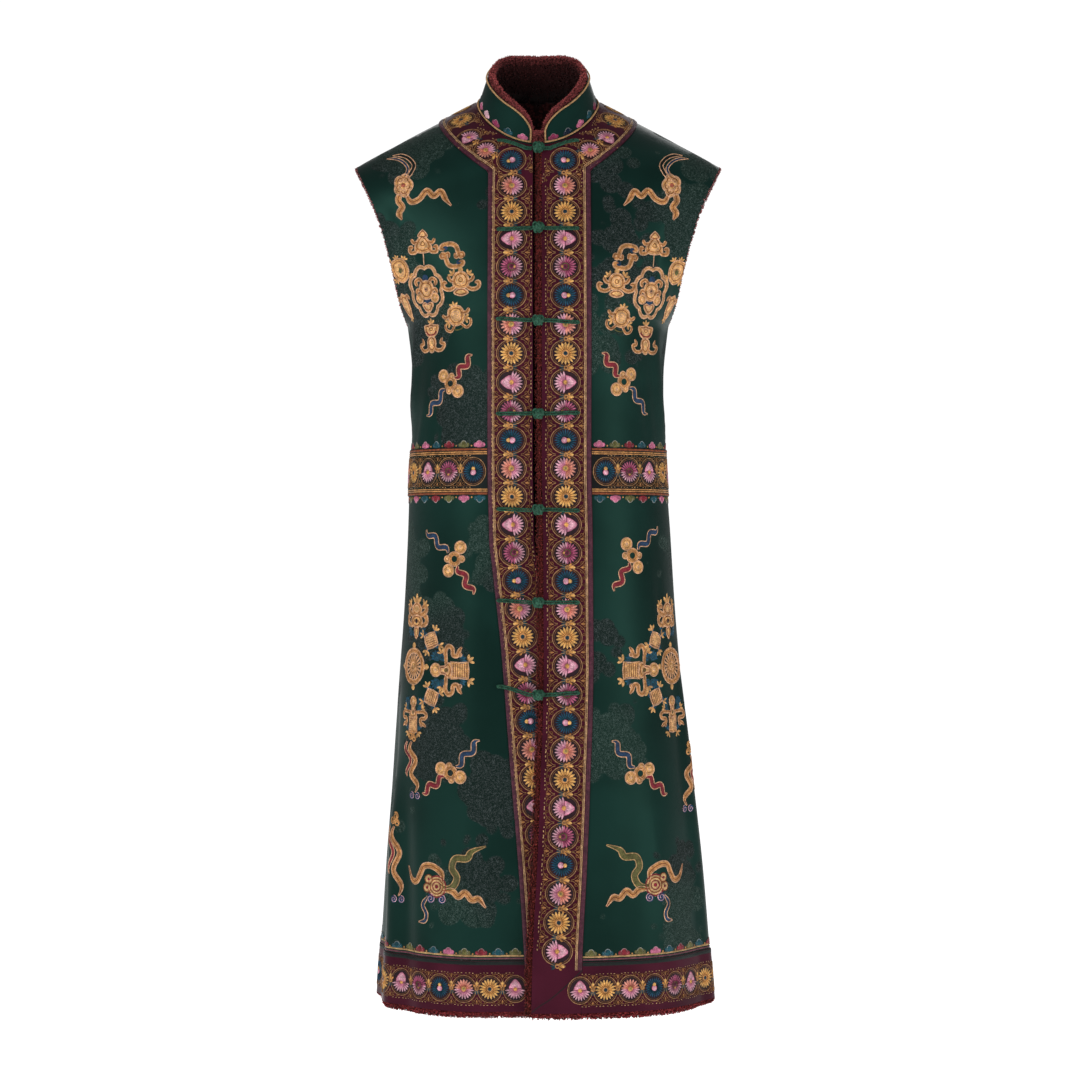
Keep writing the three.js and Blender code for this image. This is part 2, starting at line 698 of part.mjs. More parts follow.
// ---------------------------------------------------------------- armholes
const ARMHOLE_EASE = 1.3; // the pile's distance from this tightly curved edge
const ARMHOLE_PILE = { low: 2.2, high: 4.4 }; // how far it shows, low down and near the tip
const ARMHOLE_RIM = [
  [0, -8.5],
  [0, -0.9],
  [0.45, -0.7],
  [0.85, -1.8],
  [1, -4.4],
  [0.85, -7.2],
  [0.5, -8.5],
]; // the share of how far it shows, and up from the cloth's face
for (const side of ["left", "right"]) {
  const front = grids[side].slice(rowOf(side, 1)).map((row) => row.at(-1));
  const back = halves[side].slice(rowOf("back", 1)).map((row) => row[0]);
  const edge = [...front, ...back.slice(1, -1).reverse()];
  const middle = edge.reduce((sum, p) => sum.add(p.point), vec(0, 0, 0));
  middle.divideScalar(edge.length);
  const frames = edge.map(({ point, normal }, i) => {
    const next = edge[(i + 1) % edge.length].point;
    const along = next.clone().sub(edge.at(i - 1).point);
    const out = along.cross(normal).normalize();
    if (out.dot(middle.clone().sub(point)) < 0) out.negate();
    return { point: point.clone().setY(point.y === -GAP / 2 ? 0 : point.y), normal, out };
  });
  const rings = frames.map((p) => {
    const shows = lerp(ARMHOLE_PILE.low, ARMHOLE_PILE.high, ease((p.point.z + 180) / 80));
    return ring(p, ARMHOLE_RIM.map(([share, up]) => [share * shows + ARMHOLE_EASE, up]));
  });
  add(sweep(`armhole_pile_${side}`, rings, SHEARLING, true));
}

// ---------------------------------------------------------------- collar
const COLLAR_BASE = 1.3; // above the neck seam
const COLLAR_FACE = -0.5; // its outer face, inside the neck seam
const COLLAR_STEPS = [0, 2, 5, 10, 17, 26, 36]; // round the front corner
const COLLAR_TURNS = 8; // from the corner to the centre back
const collarEnd = degrees(asin(COLLAR_FRONT_GAP / NECK_HALF_WIDTH));
const angleAfter = (length) => collarEnd + degrees(length / NECK_HALF_WIDTH);

function mirrorAngles(angles) {
  return [...angles, ...angles.filter((a) => a < 179.9).reverse().map((a) => 360 - a)];
}

const collarAngles = mirrorAngles([
  ...COLLAR_STEPS.map(angleAfter),
  ...steps(COLLAR_TURNS).slice(1).map((q) => lerp(angleAfter(COLLAR_CORNER), 180, q)),
]);

// The collar's height at an angle, rounded off toward its front ends.
function collarTop(angle) {
  const turned = min(angle, 360 - angle);
  const length = radians(turned - collarEnd) * NECK_HALF_WIDTH;
  const round = (1 - (1 - clamp01(length / COLLAR_CORNER)) ** 2.2) ** 0.5;
  return collarHeight(turned) * (0.3 + 0.7 * round);
}

// A place by angle, height up the leaning collar and distance out from it.
function collarPoint(angle, height, outward) {
  const e = 0.5;
  const along = neckPoint(angle + e).sub(neckPoint(angle - e));
  const out = vec(-along.y, along.x, 0).normalize();
  if (out.dot(vec(sin(radians(angle)), -cos(radians(angle)), 0)) < 0) out.negate();
  const lean = Math.atan(COLLAR_LEAN / 42);
  return neckPoint(angle)
    .addScaledVector(out, outward * cos(lean) - height * sin(lean))
    .add(vec(0, 0, height * cos(lean) + outward * sin(lean)));
}

const collarWall = (outward) =>
  [0, 0.5, 1].map((q) =>
    collarAngles.map((a) => collarPoint(a, lerp(COLLAR_BASE, collarTop(a), q), outward)),
  );
add(wall("collar", collarWall(COLLAR_FACE), collarWall(COLLAR_FACE - CLOTH), VELVET));

// The collar's shearling lines it, rolls over its top edge and closes the gap in front.
function collarPileRing(angle, covers) {
  const top = covers ? collarTop(angle) : COLLAR_BASE;
  const rise = max(collarTop(angle), 6);
  const [back, face] = [COLLAR_FACE - CLOTH - GAP, COLLAR_FACE];
  const low = covers ? top : COLLAR_BASE;
  return [
    [COLLAR_BASE, back],
    [low + GAP * (covers ? 1 : 0), back],
    [low + GAP * (covers ? 1 : 2), face - 0.2],
    [rise + 4, face],
    [rise + 7.4, face - 2],
    [rise + 8.8, face - 5],
    [rise + 6.5, face - 8.4],
    [rise - 3, face - 8.8],
    [COLLAR_BASE + 2.2, back - PILE],
  ].map(([height, outward]) => collarPoint(angle, height, outward));
}
const frontGap = [1.2, 4.4, COLLAR_FRONT_GAP - 0.6].map((x) =>
  degrees(asin(x / NECK_HALF_WIDTH)),
);
const pileRings = [
  ...frontGap.map((a) => collarPileRing(a, false)),
  ...[angleAfter(-GAP), ...collarAngles, 360 - angleAfter(-GAP)].map((a) =>
    collarPileRing(a, true),
  ),
  ...[...frontGap].reverse().map((a) => collarPileRing(360 - a, false)),
];
add(sweep("collar_pile", pileRings, SHEARLING));

// ---------------------------------------------------------------- cords
const PIPING = 1.1; // radius
const PIPING_SIDES = 5;
const circle = (radius, sides) =>
  steps(sides)
    .slice(1)
    .map((q) => [radius * cos(2 * PI * q), radius * sin(2 * PI * q)]);

// A round cord along points, with frames turned as little as they can be.
function cord(name, points, radius, sides, material) {
  let normal = vec(0.3, 0.2, 1);
  const rings = points.map((point, i) => {
    const along = points[min(i + 1, points.length - 1)].clone().sub(points[max(i - 1, 0)]);
    along.normalize();
    normal = perpendicular(normal, along);
    return ring({ point, normal, out: along.cross(normal) }, circle(radius, sides));
  });
  return sweep(name, rings, material);
}

const pipingOut = COLLAR_FACE + GAP + PIPING;
const cordAngles = collarAngles.filter((_, i) => i > 0 && i < collarAngles.length - 1);
const edgeEnd = (angle) => [7, 9.5].map((height) => collarPoint(angle, height, pipingOut));
const nearEnd = angleAfter(0.9);
add(
  cord(
    "collar_piping",
    [
      ...edgeEnd(nearEnd),
      ...cordAngles.map((a) => collarPoint(a, collarTop(a) - 1.5, pipingOut)),
      ...edgeEnd(360 - nearEnd).reverse(),
    ],
    PIPING,
    PIPING_SIDES,
    GOLD,
  ),
);
add(
  cord(
    "neck_piping",
    collarAngles.map((a) => collarPoint(a, 3.6, pipingOut)),
    PIPING,
    PIPING_SIDES,
    GOLD,
  ),
);

// ---------------------------------------------------------------- frogs
const ARM_STEPS = [6.9, 10, 15, 21, 32, FROG_REACH];
const LOBES = [
  [0, -0.65],
  [0.5, -1],
  [0.96, -0.5],
  [0.96, 0.5],
  [0.5, 1],
  [0, 0.65],
  [-0.5, 1],
  [-0.96, 0.5],
  [-0.96, -0.5],
  [-0.5, -1],
].map(([across, out]) => [across * CORD, (out * CORD) / 2]);
const KNOT_DEPTH = 6; // half its depth
const KNOT_CUT = 62; // latitude of its flat back, in degrees
const KNOT_CLEARANCE = 0.6; // over the facets of the pile
const FROG_CLEARANCE = 0.72; // over the band's facets

for (const frog of FROGS) {
  for (const panel of ["left", "right"]) {
    const side = panel === "left" ? 1 : -1;
    const places = ARM_STEPS.map((x) => {
      const share = (x - ARM_STEPS[0]) / (FROG_REACH - ARM_STEPS[0]);
      const z = frog.z + frog[`rise_${panel}`] * ease(share);
      const { point, normal } = locate(panel, side * x, z);
      const under = panel === "right" ? OVERLAP_DEPTH * tuck(z) : 0;
      const lift = under * (1 - ease((x - 8) / 15));
      return { point: point.add(vec(0, -lift, 0)), normal };
    });
    const turning = panel === "right" ? tuck(frog.z) : 0;
    const dip = 4 * turning * (1 - turning); // bridges the hollow where this front tucks in
    const rings = places.map(({ point, normal }, i) => {
      const next = places[min(i + 1, places.length - 1)].point;
      const along = next.clone().sub(places[max(i - 1, 0)].point).normalize();
      const out = perpendicular(normal, along);
      const across = along.cross(out);
      const raised = point.clone().addScaledVector(out, BAND + FROG_CLEARANCE + CORD / 2 + dip);
      return ring({ point: raised, out: across, normal: out }, LOBES);
    });
    add(sweep(`frog_${frog.name}_${panel}`, rings, CORDING));
  }
  const seat = locate("left", 5, frog.z);
  seat.point.x = 0;
  const height = PILE_TOP + KNOT_CLEARANCE + KNOT_DEPTH * sin(radians(KNOT_CUT));
  const middle = seat.point.clone().addScaledVector(seat.normal, height);
  const across = vec(1, 0, 0);
  const up = seat.normal.clone().cross(across).normalize();
  const latitudes = [-1, -0.5, 0, 0.5, 1].map((q) => radians(q * KNOT_CUT));
  const rings = latitudes.map((q) =>
    circle(KNOT_RADIUS * cos(q), 10).map(([a, b]) =>
      middle
        .clone()
        .addScaledVector(across, a)
        .addScaledVector(up, b)
        .addScaledVector(seat.normal, KNOT_DEPTH * sin(q)),
    ),
  );
  add(sweep(`knot_${frog.name}`, rings, CORDING));
}

export default coat;
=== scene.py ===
"""A long shearling vest: its cloth, fur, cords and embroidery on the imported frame.

Lengths are in millimetres until a mesh is made. The wearer's left is +X, the front is -Y,
and z is 0 at the shoulder seams' middle height.
"""
from math import atan, pi, radians

import bpy
import numpy as np
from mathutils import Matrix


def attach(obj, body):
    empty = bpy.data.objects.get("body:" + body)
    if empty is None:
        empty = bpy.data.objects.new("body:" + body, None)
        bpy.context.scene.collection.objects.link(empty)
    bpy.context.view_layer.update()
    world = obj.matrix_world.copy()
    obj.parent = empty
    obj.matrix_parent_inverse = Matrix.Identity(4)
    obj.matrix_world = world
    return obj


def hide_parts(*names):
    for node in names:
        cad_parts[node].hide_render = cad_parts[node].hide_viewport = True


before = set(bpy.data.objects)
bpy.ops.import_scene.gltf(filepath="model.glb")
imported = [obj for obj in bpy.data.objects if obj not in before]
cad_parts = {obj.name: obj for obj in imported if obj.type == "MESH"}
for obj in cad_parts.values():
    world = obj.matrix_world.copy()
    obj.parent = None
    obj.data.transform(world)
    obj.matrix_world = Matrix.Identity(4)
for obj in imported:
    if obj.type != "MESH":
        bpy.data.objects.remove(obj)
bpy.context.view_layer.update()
MM = 0.001
random = np.random.default_rng(7)

# ---------------------------------------------------------------- camera, light and stage
CAMERA = (2.4, -3000, -520)
PICTURE = 1296  # what the picture takes in, level with the coat's middle
FLOOR_Z = -1500
SENSOR = 36
ROOM_LIGHT = 0.22  # what the room gives the coat
ROOM_WHITE = 1.05  # and what the camera sees of it


def aim(thing, place, target):
    """Puts a lamp or camera at a place, turned toward a target."""
    x, y, z = (np.array(target) - np.array(place)) * MM
    thing.location = np.array(place) * MM
    thing.rotation_euler = (pi / 2 + np.arctan2(z, np.hypot(x, y)), 0, np.arctan2(y, x) - pi / 2)


def add_camera():
    camera = bpy.data.objects.new("camera", bpy.data.cameras.new("camera"))
    bpy.context.collection.objects.link(camera)
    camera.data.sensor_width = SENSOR
    camera.data.lens = SENSOR * -CAMERA[1] / PICTURE
    aim(camera, CAMERA, (CAMERA[0], 0, CAMERA[2]))
    bpy.context.scene.camera = camera


def add_softbox(name, place, size, power):
    lamp = bpy.data.lights.new(name, "AREA")
    lamp.shape = "RECTANGLE"
    lamp.size, lamp.size_y = size
    lamp.energy = power
    thing = bpy.data.objects.new(name, lamp)
    bpy.context.collection.objects.link(thing)
    aim(thing, place, (0, 0, -450))


add_camera()
add_softbox("key", (-1900, -2300, 700), (1.3, 1.8), 44)
add_softbox("fill", (2300, -1900, 0), (1.0, 2.2), 28)
add_softbox("back", (300, 2600, 900), (2.0, 1.6), 14)

# ---------------------------------------------------------------- sizes
HEM_Z = -1060
HEM_BAND_TOP_Z = -1002
WAIST_BAND_BOTTOM_Z = -468
WAIST_BAND_TOP_Z = -413
UNDERARM_Z = -264
SHOULDER_TIP_Z = -74
ARMHOLE_REACH = {"front": -76, "back": 78}
NECK_HALF_WIDTH = 72.5
NECK_FRONT = (-73, -58)  # y and z of the neck seam at centre front
NECK_BACK = (68, 18)  # and at centre back
ROUNDNESS = 2.3  # of the body's ovals; 2 is an ellipse
CLOTH = 2.4
BAND = 1.2
GAP = 0.3  # between layers
PILE = 5.8  # the lining's thickness
PILE_SHOWS = 9.4  # how far the pile stands out past the cloth's edge
OVERLAP_DEPTH = 11.5  # how far the right front passes behind the left
OVERLAP_RAMP = 75  # over which it comes forward again
CHEST_OUT = 9  # the chest's and shoulder blades' fullness
CHEST_UP = 3
BAND_WIDTH = {"left": 57, "right": 52}  # the right one ends under the left front's pile
NECK_BAND_WIDTH = 50
CHEST_SPREAD = 1.15  # how much closer the rows stand low on the chest
SHOULDER_SPREAD = 52  # degrees of an oval that a row takes up at the shoulder
NARROWED_BY = 80  # degrees round the armhole
CORNER_ANGLE = {"left": 100, "right": 100, "back": 138}  # round the armhole, at the neck's corner

# The body's ovals: height, half the width, and depth in front and behind.
BODY = [
    (-1060, 199.5, 150, 152), (-1000, 195, 147, 149), (-900, 187.5, 139, 143),
    (-800, 178, 132, 137), (-700, 170, 126, 130), (-600, 162, 121, 122),
    (-500, 156.5, 117.5, 112), (-440, 153.5, 115.5, 106), (-380, 150.5, 115, 103),
    (-330, 150.5, 117.5, 106), (-270, 155.5, 120, 113), (-200, 170, 114, 117),
    (-140, 190, 100, 115), (-100, 205, 87, 109), (-60, 215, 73, 99),
    (-20, 215, 60, 86), (18, 215, 50, 68),
]
# The armhole's edge as seen from the front: height and x.
ARMHOLE = [
    (-264, 156.2), (-250, 161), (-234, 165), (-210, 169.5), (-186, 175),
    (-162, 181.5), (-138, 189), (-114, 199), (-92, 209.5), (-74, 217.5),
]
# Where each front's cloth ends beside the centre line: height, left and right front.
FRONT_EDGE = [
    (-1060, -15, 32), (-993, -13, 29), (-900, -7, 24), (-800, -1, 17.5),
    (-720, 3, 12.5), (-650, 4.5, 7.5), (-590, 4.5, 1.5), (-540, 4.5, -4),
    (-520, 4.5, -6), (-60, 4.5, -6),
]
TUCK = [(-1060, 1), (-520, 1), (-430, 0), (-60, 0)]  # how far the right front is tucked in
SWAY = [
    (-1060, 7.5), (-950, 6.5), (-850, 5), (-760, 3.2), (-640, 2.2), (-520, 1.5),
    (-430, 0), (20, 0),
]
COLLAR = [(0, 42), (50, 40), (90, 38), (120, 43.5), (150, 47), (180, 47.5)]  # angle and height
# Soft folds: panel, from across and height, to across and height, width and rise. Across is
# the share of the way from the centre line to the side seam.
FOLDS = [
    ("left", 0.66, -255, 0.9, -440, 0.06, 5), ("left", 0.8, -250, 0.98, -400, 0.07, -6),
    ("left", 0.83, -600, 0.83, -1060, 0.055, 8), ("left", 0.93, -640, 0.93, -1060, 0.06, -9),
    ("left", 0.5, -760, 0.46, -1060, 0.1, 3), ("right", 0.7, -250, 0.93, -400, 0.06, 5),
    ("right", 0.82, -245, 1, -380, 0.07, -5), ("right", 0.8, -760, 0.7, -1060, 0.06, 7),
    ("right", 0.7, -800, 0.62, -1060, 0.06, -5), ("right", 0.92, -640, 0.9, -1060, 0.06, -5),
    ("back", -0.8, -560, -0.82, -1060, 0.07, 8), ("back", -0.6, -640, -0.62, -1060, 0.08, -6),
    ("back", -0.35, -580, -0.4, -1060, 0.08, 6), ("back", 0.12, -420, 0.1, -1060, 0.12, -4),
    ("back", 0.42, -600, 0.4, -1060, 0.08, 6), ("back", 0.66, -700, 0.64, -1060, 0.07, -6),
    ("back", 0.84, -540, 0.84, -1060, 0.06, 7), ("back", -0.72, -230, -0.86, -420, 0.07, -5),
    ("back", 0.74, -240, 0.88, -430, 0.07, -5),
]
# Smaller creases, in the same form.
CREASES = [
    ("left", 0.62, -520, 0.7, -720, 0.03, -1.2), ("left", 0.45, -830, 0.52, -1000, 0.03, 1.2),
    ("right", 0.45, -300, 0.62, -440, 0.03, -1.6), ("right", 0.6, -330, 0.8, -445, 0.03, 1.4),
    ("left", 0.5, -290, 0.66, -420, 0.03, -1.5), ("right", 0.55, -560, 0.62, -760, 0.035, 1.3),
    ("left", 0.86, -120, 0.72, -230, 0.04, -1.8), ("right", 0.88, -110, 0.7, -240, 0.04, -1.8),
    ("left", 0.95, -140, 0.83, -250, 0.03, 1.5), ("right", 0.95, -150, 0.82, -250, 0.03, 1.5),
    ("back", -0.4, -120, -0.75, -260, 0.05, -2), ("back", 0.42, -140, 0.72, -280, 0.05, -2),
    ("back", -0.3, -330, -0.7, -410, 0.05, 1.6), ("back", 0.35, -350, 0.75, -430, 0.05, 1.6),
]


# ---------------------------------------------------------------- the garment's form
def lerp(a, b, q):
    return a + (b - a) * q


def ease(q):
    q = np.clip(q, 0, 1)
    return q * q * (3 - 2 * q)


def power(value, exponent):
    return np.sign(value) * np.abs(value) ** exponent


def join(x, y, z):
    return np.stack(np.broadcast_arrays(x, y, z), axis=-1).astype(float)


def unit(vectors):
    return vectors / np.maximum(np.linalg.norm(vectors, axis=-1, keepdims=True), 1e-9)


def distance_along(path):
    """The distance along a path at each of its points."""
    return np.append(0, np.cumsum(np.linalg.norm(np.diff(path, axis=0), axis=1)))


def quarter_turn(ways):
    """Directions in a plane, turned to their left."""
    return np.stack([-ways[:, 1], ways[:, 0]], axis=1)


def between(field, rows, columns, p, q):
    """A field a share p of the way from one row to another, and q from a column to the next."""
    near, far = (field[row, columns] * (1 - q) + field[row, columns + 1] * q for row in rows)
    return near * (1 - p) + far * p


def through(table, column):
    """A smooth curve that never overshoots, through one column of a table."""
    rows = sorted(table)
    at = np.array([row[0] for row in rows], float)
    value = np.array([row[column] for row in rows], float)
    step = np.diff(at)
    rise = np.diff(value) / step
    before = np.append(rise[0], rise)
    after = np.append(rise, rise[-1])
    turns = before * after <= 0
    slope = np.where(turns, 0, 2 * before * after / np.where(turns, 1, before + after))

    def curve(x):
        x = np.clip(x, at[0], at[-1])
        i = np.clip(np.searchsorted(at, x) - 1, 0, len(step) - 1)
        u = (x - at[i]) / step[i]
        ends = value[i] * (1 + 2 * u) * (1 - u) ** 2 + value[i + 1] * u * u * (3 - 2 * u)
        bends = slope[i] * u * (1 - u) ** 2 + slope[i + 1] * u * u * (u - 1)
        return ends + bends * step[i]

    return curve


half_width = through(BODY, 1)
depth = {"front": through(BODY, 2), "back": through(BODY, 3)}
armhole_x = through(ARMHOLE, 1)
front_edge = {"left": through(FRONT_EDGE, 1), "right": through(FRONT_EDGE, 2)}
tuck = through(TUCK, 1)
sway = through(SWAY, 1)
collar_height = through(COLLAR, 1)


def neck_point(angle):
    """The neck seam, by angle from centre front round the wearer's left, in degrees."""
    turn = np.radians(angle)
    c = np.cos(turn)
    (front_y, front_z), (back_y, back_z) = NECK_FRONT, NECK_BACK
    mean = (front_z + back_z) / 4
    y = (c * (front_y - back_y) + c * c * (front_y + back_y)) / 2
    z = mean + c * (front_z - back_z) / 2 + mean * np.cos(2 * turn)
    return join(NECK_HALF_WIDTH * np.sin(turn), y, z)


def armhole_point(angle, reach):
    """The armhole's edge from the underarm, 0 degrees, to the shoulder tip, 180."""
    turn = np.radians(angle)
    z = lerp(UNDERARM_Z, SHOULDER_TIP_Z, (1 - np.cos(turn)) / 2)
    return join(armhole_x(z), reach * np.sin(turn), z)


class Panel:
    """A front or half of the back, over s, 0 at the centre to 1 at the side seam or
    armhole, and t, 0 at the hem to 1 at the underarm and 2 at the shoulder seam."""

    COLUMNS = 160
    ROWS = (264, 160)  # below and above the underarm
    SLOPE_STEP = 0.003  # of s and t, for the normals
    SEARCH_STEPS = 14
    SEARCH_REACH = 30  # the most rows or columns in one step

    def __init__(self, kind, side):
        self.kind = kind
        self.side = side
        self.name = kind if kind != "back" else "back_" + ("left" if side > 0 else "right")
        self.face = "back" if kind == "back" else "front"
        self.s = np.linspace(0, 1, self.COLUMNS + 1)
        low, high = self.ROWS
        self.t = np.append(np.linspace(0, 1, low + 1), np.linspace(1, 2, high + 1)[1:])
        grid_s = np.broadcast_to(self.s, (len(self.t), len(self.s)))
        self.point, self.normal = self.place(grid_s, self.t[:, None])
        level = np.linalg.norm(np.diff(self.point[..., :2], axis=1), axis=-1)
        start = self.side * self.point[:, :1, 0]
        arc = np.append(start, start + np.cumsum(level, axis=1), axis=1)
        self.body = np.stack([arc, self.point[..., 2]], axis=-1)

    def edge(self, z):
        if self.kind == "back":
            return np.zeros_like(z)
        return (1 if self.kind == "left" else -1) * front_edge[self.kind](z)

    def ends(self, t):
        """A row's start at the centre or neck, its end at the side, the angle that it
        spreads over, and whether it starts on the neck seam."""
        toward = 1 if self.kind == "back" else -1
        neck_z = NECK_BACK[1] if self.kind == "back" else NECK_FRONT[1]
        corner = CORNER_ANGLE[self.kind]
        angle = np.clip((t - 1) * 180, 0, 180)
        on_neck = angle > corner
        climb = np.clip(angle / corner, 0, 1) ** CHEST_SPREAD
        z = np.where(t <= 1, lerp(HEM_Z, UNDERARM_Z, t), lerp(UNDERARM_Z, neck_z, climb))
        start = join(self.edge(z), toward * depth[self.face](z), z)
        first = 180.0
        if self.kind != "back":
            first = np.degrees(np.arcsin(self.edge(np.array(neck_z)) / NECK_HALF_WIDTH))
        round_neck = np.clip((angle - corner) / (180 - corner), 0, 1)
        neck = neck_point(lerp(first, 90, round_neck))
        start = np.where(on_neck[..., None], neck, start)
        side_seam = join(half_width(z), 0, z)
        armhole = armhole_point(angle, ARMHOLE_REACH[self.face])
        end = np.where((t <= 1)[..., None], side_seam, armhole)
        narrowed = lerp(90, SHOULDER_SPREAD, ease(angle / NARROWED_BY))
        spread = np.radians(np.where(t <= 1, 90, narrowed))
        return start, end, spread, on_neck

    def turn(self, t):
        start, end, spread, _ = self.ends(t)
        full = np.sin(spread) ** (2 / ROUNDNESS)
        ratio = start[..., 0] / end[..., 0] * full
        return full, np.arcsin(np.clip(power(ratio, ROUNDNESS / 2), -1, 1)), spread

    def across_at(self, t, distance):
        """The share of the way across a row at a distance from its start."""
        start, end, _, _ = self.ends(t)
        full, first, last = self.turn(t)
        x = np.minimum((start[..., 0] + distance) / end[..., 0], 1) * full
        return (np.arcsin(power(x, ROUNDNESS / 2)) - first) / (last - first)

    def smooth(self, s, t):
        start, end, _, on_neck = self.ends(t)
        full, first, last = self.turn(t)

        def bow(angle):
            return np.maximum(np.cos(angle), 0) ** (2 / ROUNDNESS)

        angle = lerp(first, last, s)
        x = power(np.sin(angle), 2 / ROUNDNESS) / full * end[..., 0]
        flat = np.where(on_neck, bow(first), 1)
        bend = (bow(angle) - bow(last)) / (flat - bow(last))
        across = (x - start[..., 0]) / (end[..., 0] - start[..., 0])
        y = lerp(end[..., 1], start[..., 1], bend)
        z = lerp(start[..., 2], end[..., 2], lerp(s, across, 0.5))
        swell = np.sin(pi * np.clip(t - 1, 0, 1)) * ease((t - 1) * 4)
        fullness = swell * np.sin(pi * np.clip(s, 0, 1))
        y = y + (CHEST_OUT if self.kind == "back" else -CHEST_OUT) * fullness
        z = z + CHEST_UP * fullness
        if self.kind == "right":
            cover = PILE_SHOWS + 4 - front_edge["left"](z)
            y = y + OVERLAP_DEPTH * tuck(z) * (1 - ease((x - cover) / OVERLAP_RAMP))
        return join(x, y, z)

    def rise(self, across, z):
        """How high the folds stand here."""
        height = np.zeros(np.broadcast_shapes(np.shape(across), np.shape(z)))
        for on, across1, z1, across2, z2, width, most in FOLDS + CREASES:
            if on != self.kind:
                continue
            along = (z - z1) / (z2 - z1)
            away = (across - lerp(across1, across2, along)) / width
            close = 1 if z2 <= HEM_Z else ease((1 - along) * 3)
            here = (along > 0) & (along <= 1.001) & (np.abs(away) < 2)
            swell = ease(along * 2.5) * close * (0.5 + 0.5 * np.cos(pi * away / 2))
            height += np.where(here, most * swell, 0)
        return height

    def place(self, s, t):
        """Points and normals, folds included."""
        e = self.SLOPE_STEP
        t = np.broadcast_to(t, np.shape(s))
        point = self.smooth(s, t)
        u = self.smooth(np.minimum(s + e, 1), t) - self.smooth(np.maximum(s - e, 0), t)
        v = self.smooth(s, np.minimum(t + e, 2)) - self.smooth(s, np.maximum(t - e, 0))
        normal = unit(np.cross(u, v))
        if self.kind == "back":
            normal = -normal
            middle = (s == 0) & (t <= 1 + CORNER_ANGLE["back"] / 180 + 1e-9)
            normal[..., 0] = np.where(middle, 0, normal[..., 0])
            normal = unit(normal)
        settled = ease((1 - s) * 12)
        across = self.side * s if self.kind == "back" else s
        point = point + normal * (self.rise(across, point[..., 2]) * settled)[..., None]
        point[..., 0] = point[..., 0] * self.side + sway(point[..., 2])
        normal[..., 0] *= self.side
        return point, normal

    def sample(self, field, i, j):
        """A field of the fine grid at fractional rows and columns."""
        a = np.clip(i.astype(int), 0, len(self.t) - 2)
        b = np.clip(j.astype(int), 0, len(self.s) - 2)
        return between(field, (a, a + 1), b, (i - a)[:, None], (j - b)[:, None])

    def nearest(self, field, wanted):
        """The row and column where a field comes nearest to a value."""
        coarse = ((field[::4, ::4] - wanted) ** 2).sum(axis=-1)
        row, column = np.unravel_index(np.argmin(coarse), coarse.shape)
        return row * 4.0, column * 4.0

    def find(self, field, wanted, guess=None):
        """Where a field of two numbers has the wanted values, as rows and columns."""
        row, column = guess or self.nearest(field, wanted.mean(axis=0))
        i = np.full(len(wanted), float(row))
        j = np.full(len(wanted), float(column))
        last_i, last_j = len(self.t) - 1, len(self.s) - 1
        h, most = 0.5, self.SEARCH_REACH
        for _ in range(self.SEARCH_STEPS):
            miss = wanted - self.sample(field, i, j)
            di = self.sample(field, i + h, j) - self.sample(field, i - h, j)
            dj = self.sample(field, i, j + h) - self.sample(field, i, j - h)
            det = di[:, 0] * dj[:, 1] - di[:, 1] * dj[:, 0]
            det = np.where(np.abs(det) < 1e-6, 1e-6, det)
            step_i = (miss[:, 0] * dj[:, 1] - miss[:, 1] * dj[:, 0]) / det
            step_j = (di[:, 0] * miss[:, 1] - di[:, 1] * miss[:, 0]) / det
            i = np.clip(i + np.clip(step_i, -most, most), 0, last_i)
            j = np.clip(j + np.clip(step_j, -most, most), 0, last_j)
        return i, j


NECK_SEAM = neck_point(np.arange(0, 360, 2))


def band_share(panel, t, share=1.0):
    """s of the outer edge of the band that runs up a front and round the neck, or of the line
    at a share of its width."""
    around = share if panel.kind == "back" else 1.0
    near, far = np.zeros_like(t), np.full_like(t, 0.9)
    for _ in range(24):
        middle = (near + far) / 2
        point = panel.smooth(middle, t)
        reach = np.linalg.norm(point[:, None] - NECK_SEAM, axis=-1).min(axis=1)
        near = np.where(reach < NECK_BAND_WIDTH * around, middle, near)
        far = np.where(reach < NECK_BAND_WIDTH * around, far, middle)
    near = np.where(near > 1e-5, near, 0)
    if panel.kind == "back":
        return near
    upright = panel.across_at(t, np.where(panel.ends(t)[3], 0, BAND_WIDTH[panel.kind]))
    return np.maximum(upright, near) * share


def row_at(z):
    return (z - HEM_Z) / (UNDERARM_Z - HEM_Z)


panels = [Panel("left", 1), Panel("right", -1), Panel("back", 1), Panel("back", -1)]
left_front, right_front, back_left, back_right = panels


# ---------------------------------------------------------------- meshes
def quads(index):
    """The faces of a grid of point numbers."""
    corners = index[:-1, :-1], index[:-1, 1:], index[1:, 1:], index[1:, :-1]
    return np.stack([corner.ravel() for corner in corners], axis=1)


def shell(outer, inner, joined=0):
    """A thin wall between two grids of points, closed round its border. Its first column
    stays open over the first `joined` rows, where it meets its mirror image."""
    rows, columns = outer.shape[:2]
    index = np.arange(rows * columns).reshape(rows, columns)
    under = index + rows * columns

    def strip(a, b):
        return np.stack([a[1:], a[:-1], b[:-1], b[1:]], axis=1)

    faces = [
        quads(index),
        quads(under)[:, ::-1],
        strip(index[0], under[0]),
        strip(under[-1], index[-1]),
        strip(under[joined:, 0], index[joined:, 0]),
        strip(index[:, -1], under[:, -1]),
    ]
    points = np.concatenate([outer.reshape(-1, 3), inner.reshape(-1, 3)])
    return points, np.concatenate(faces)


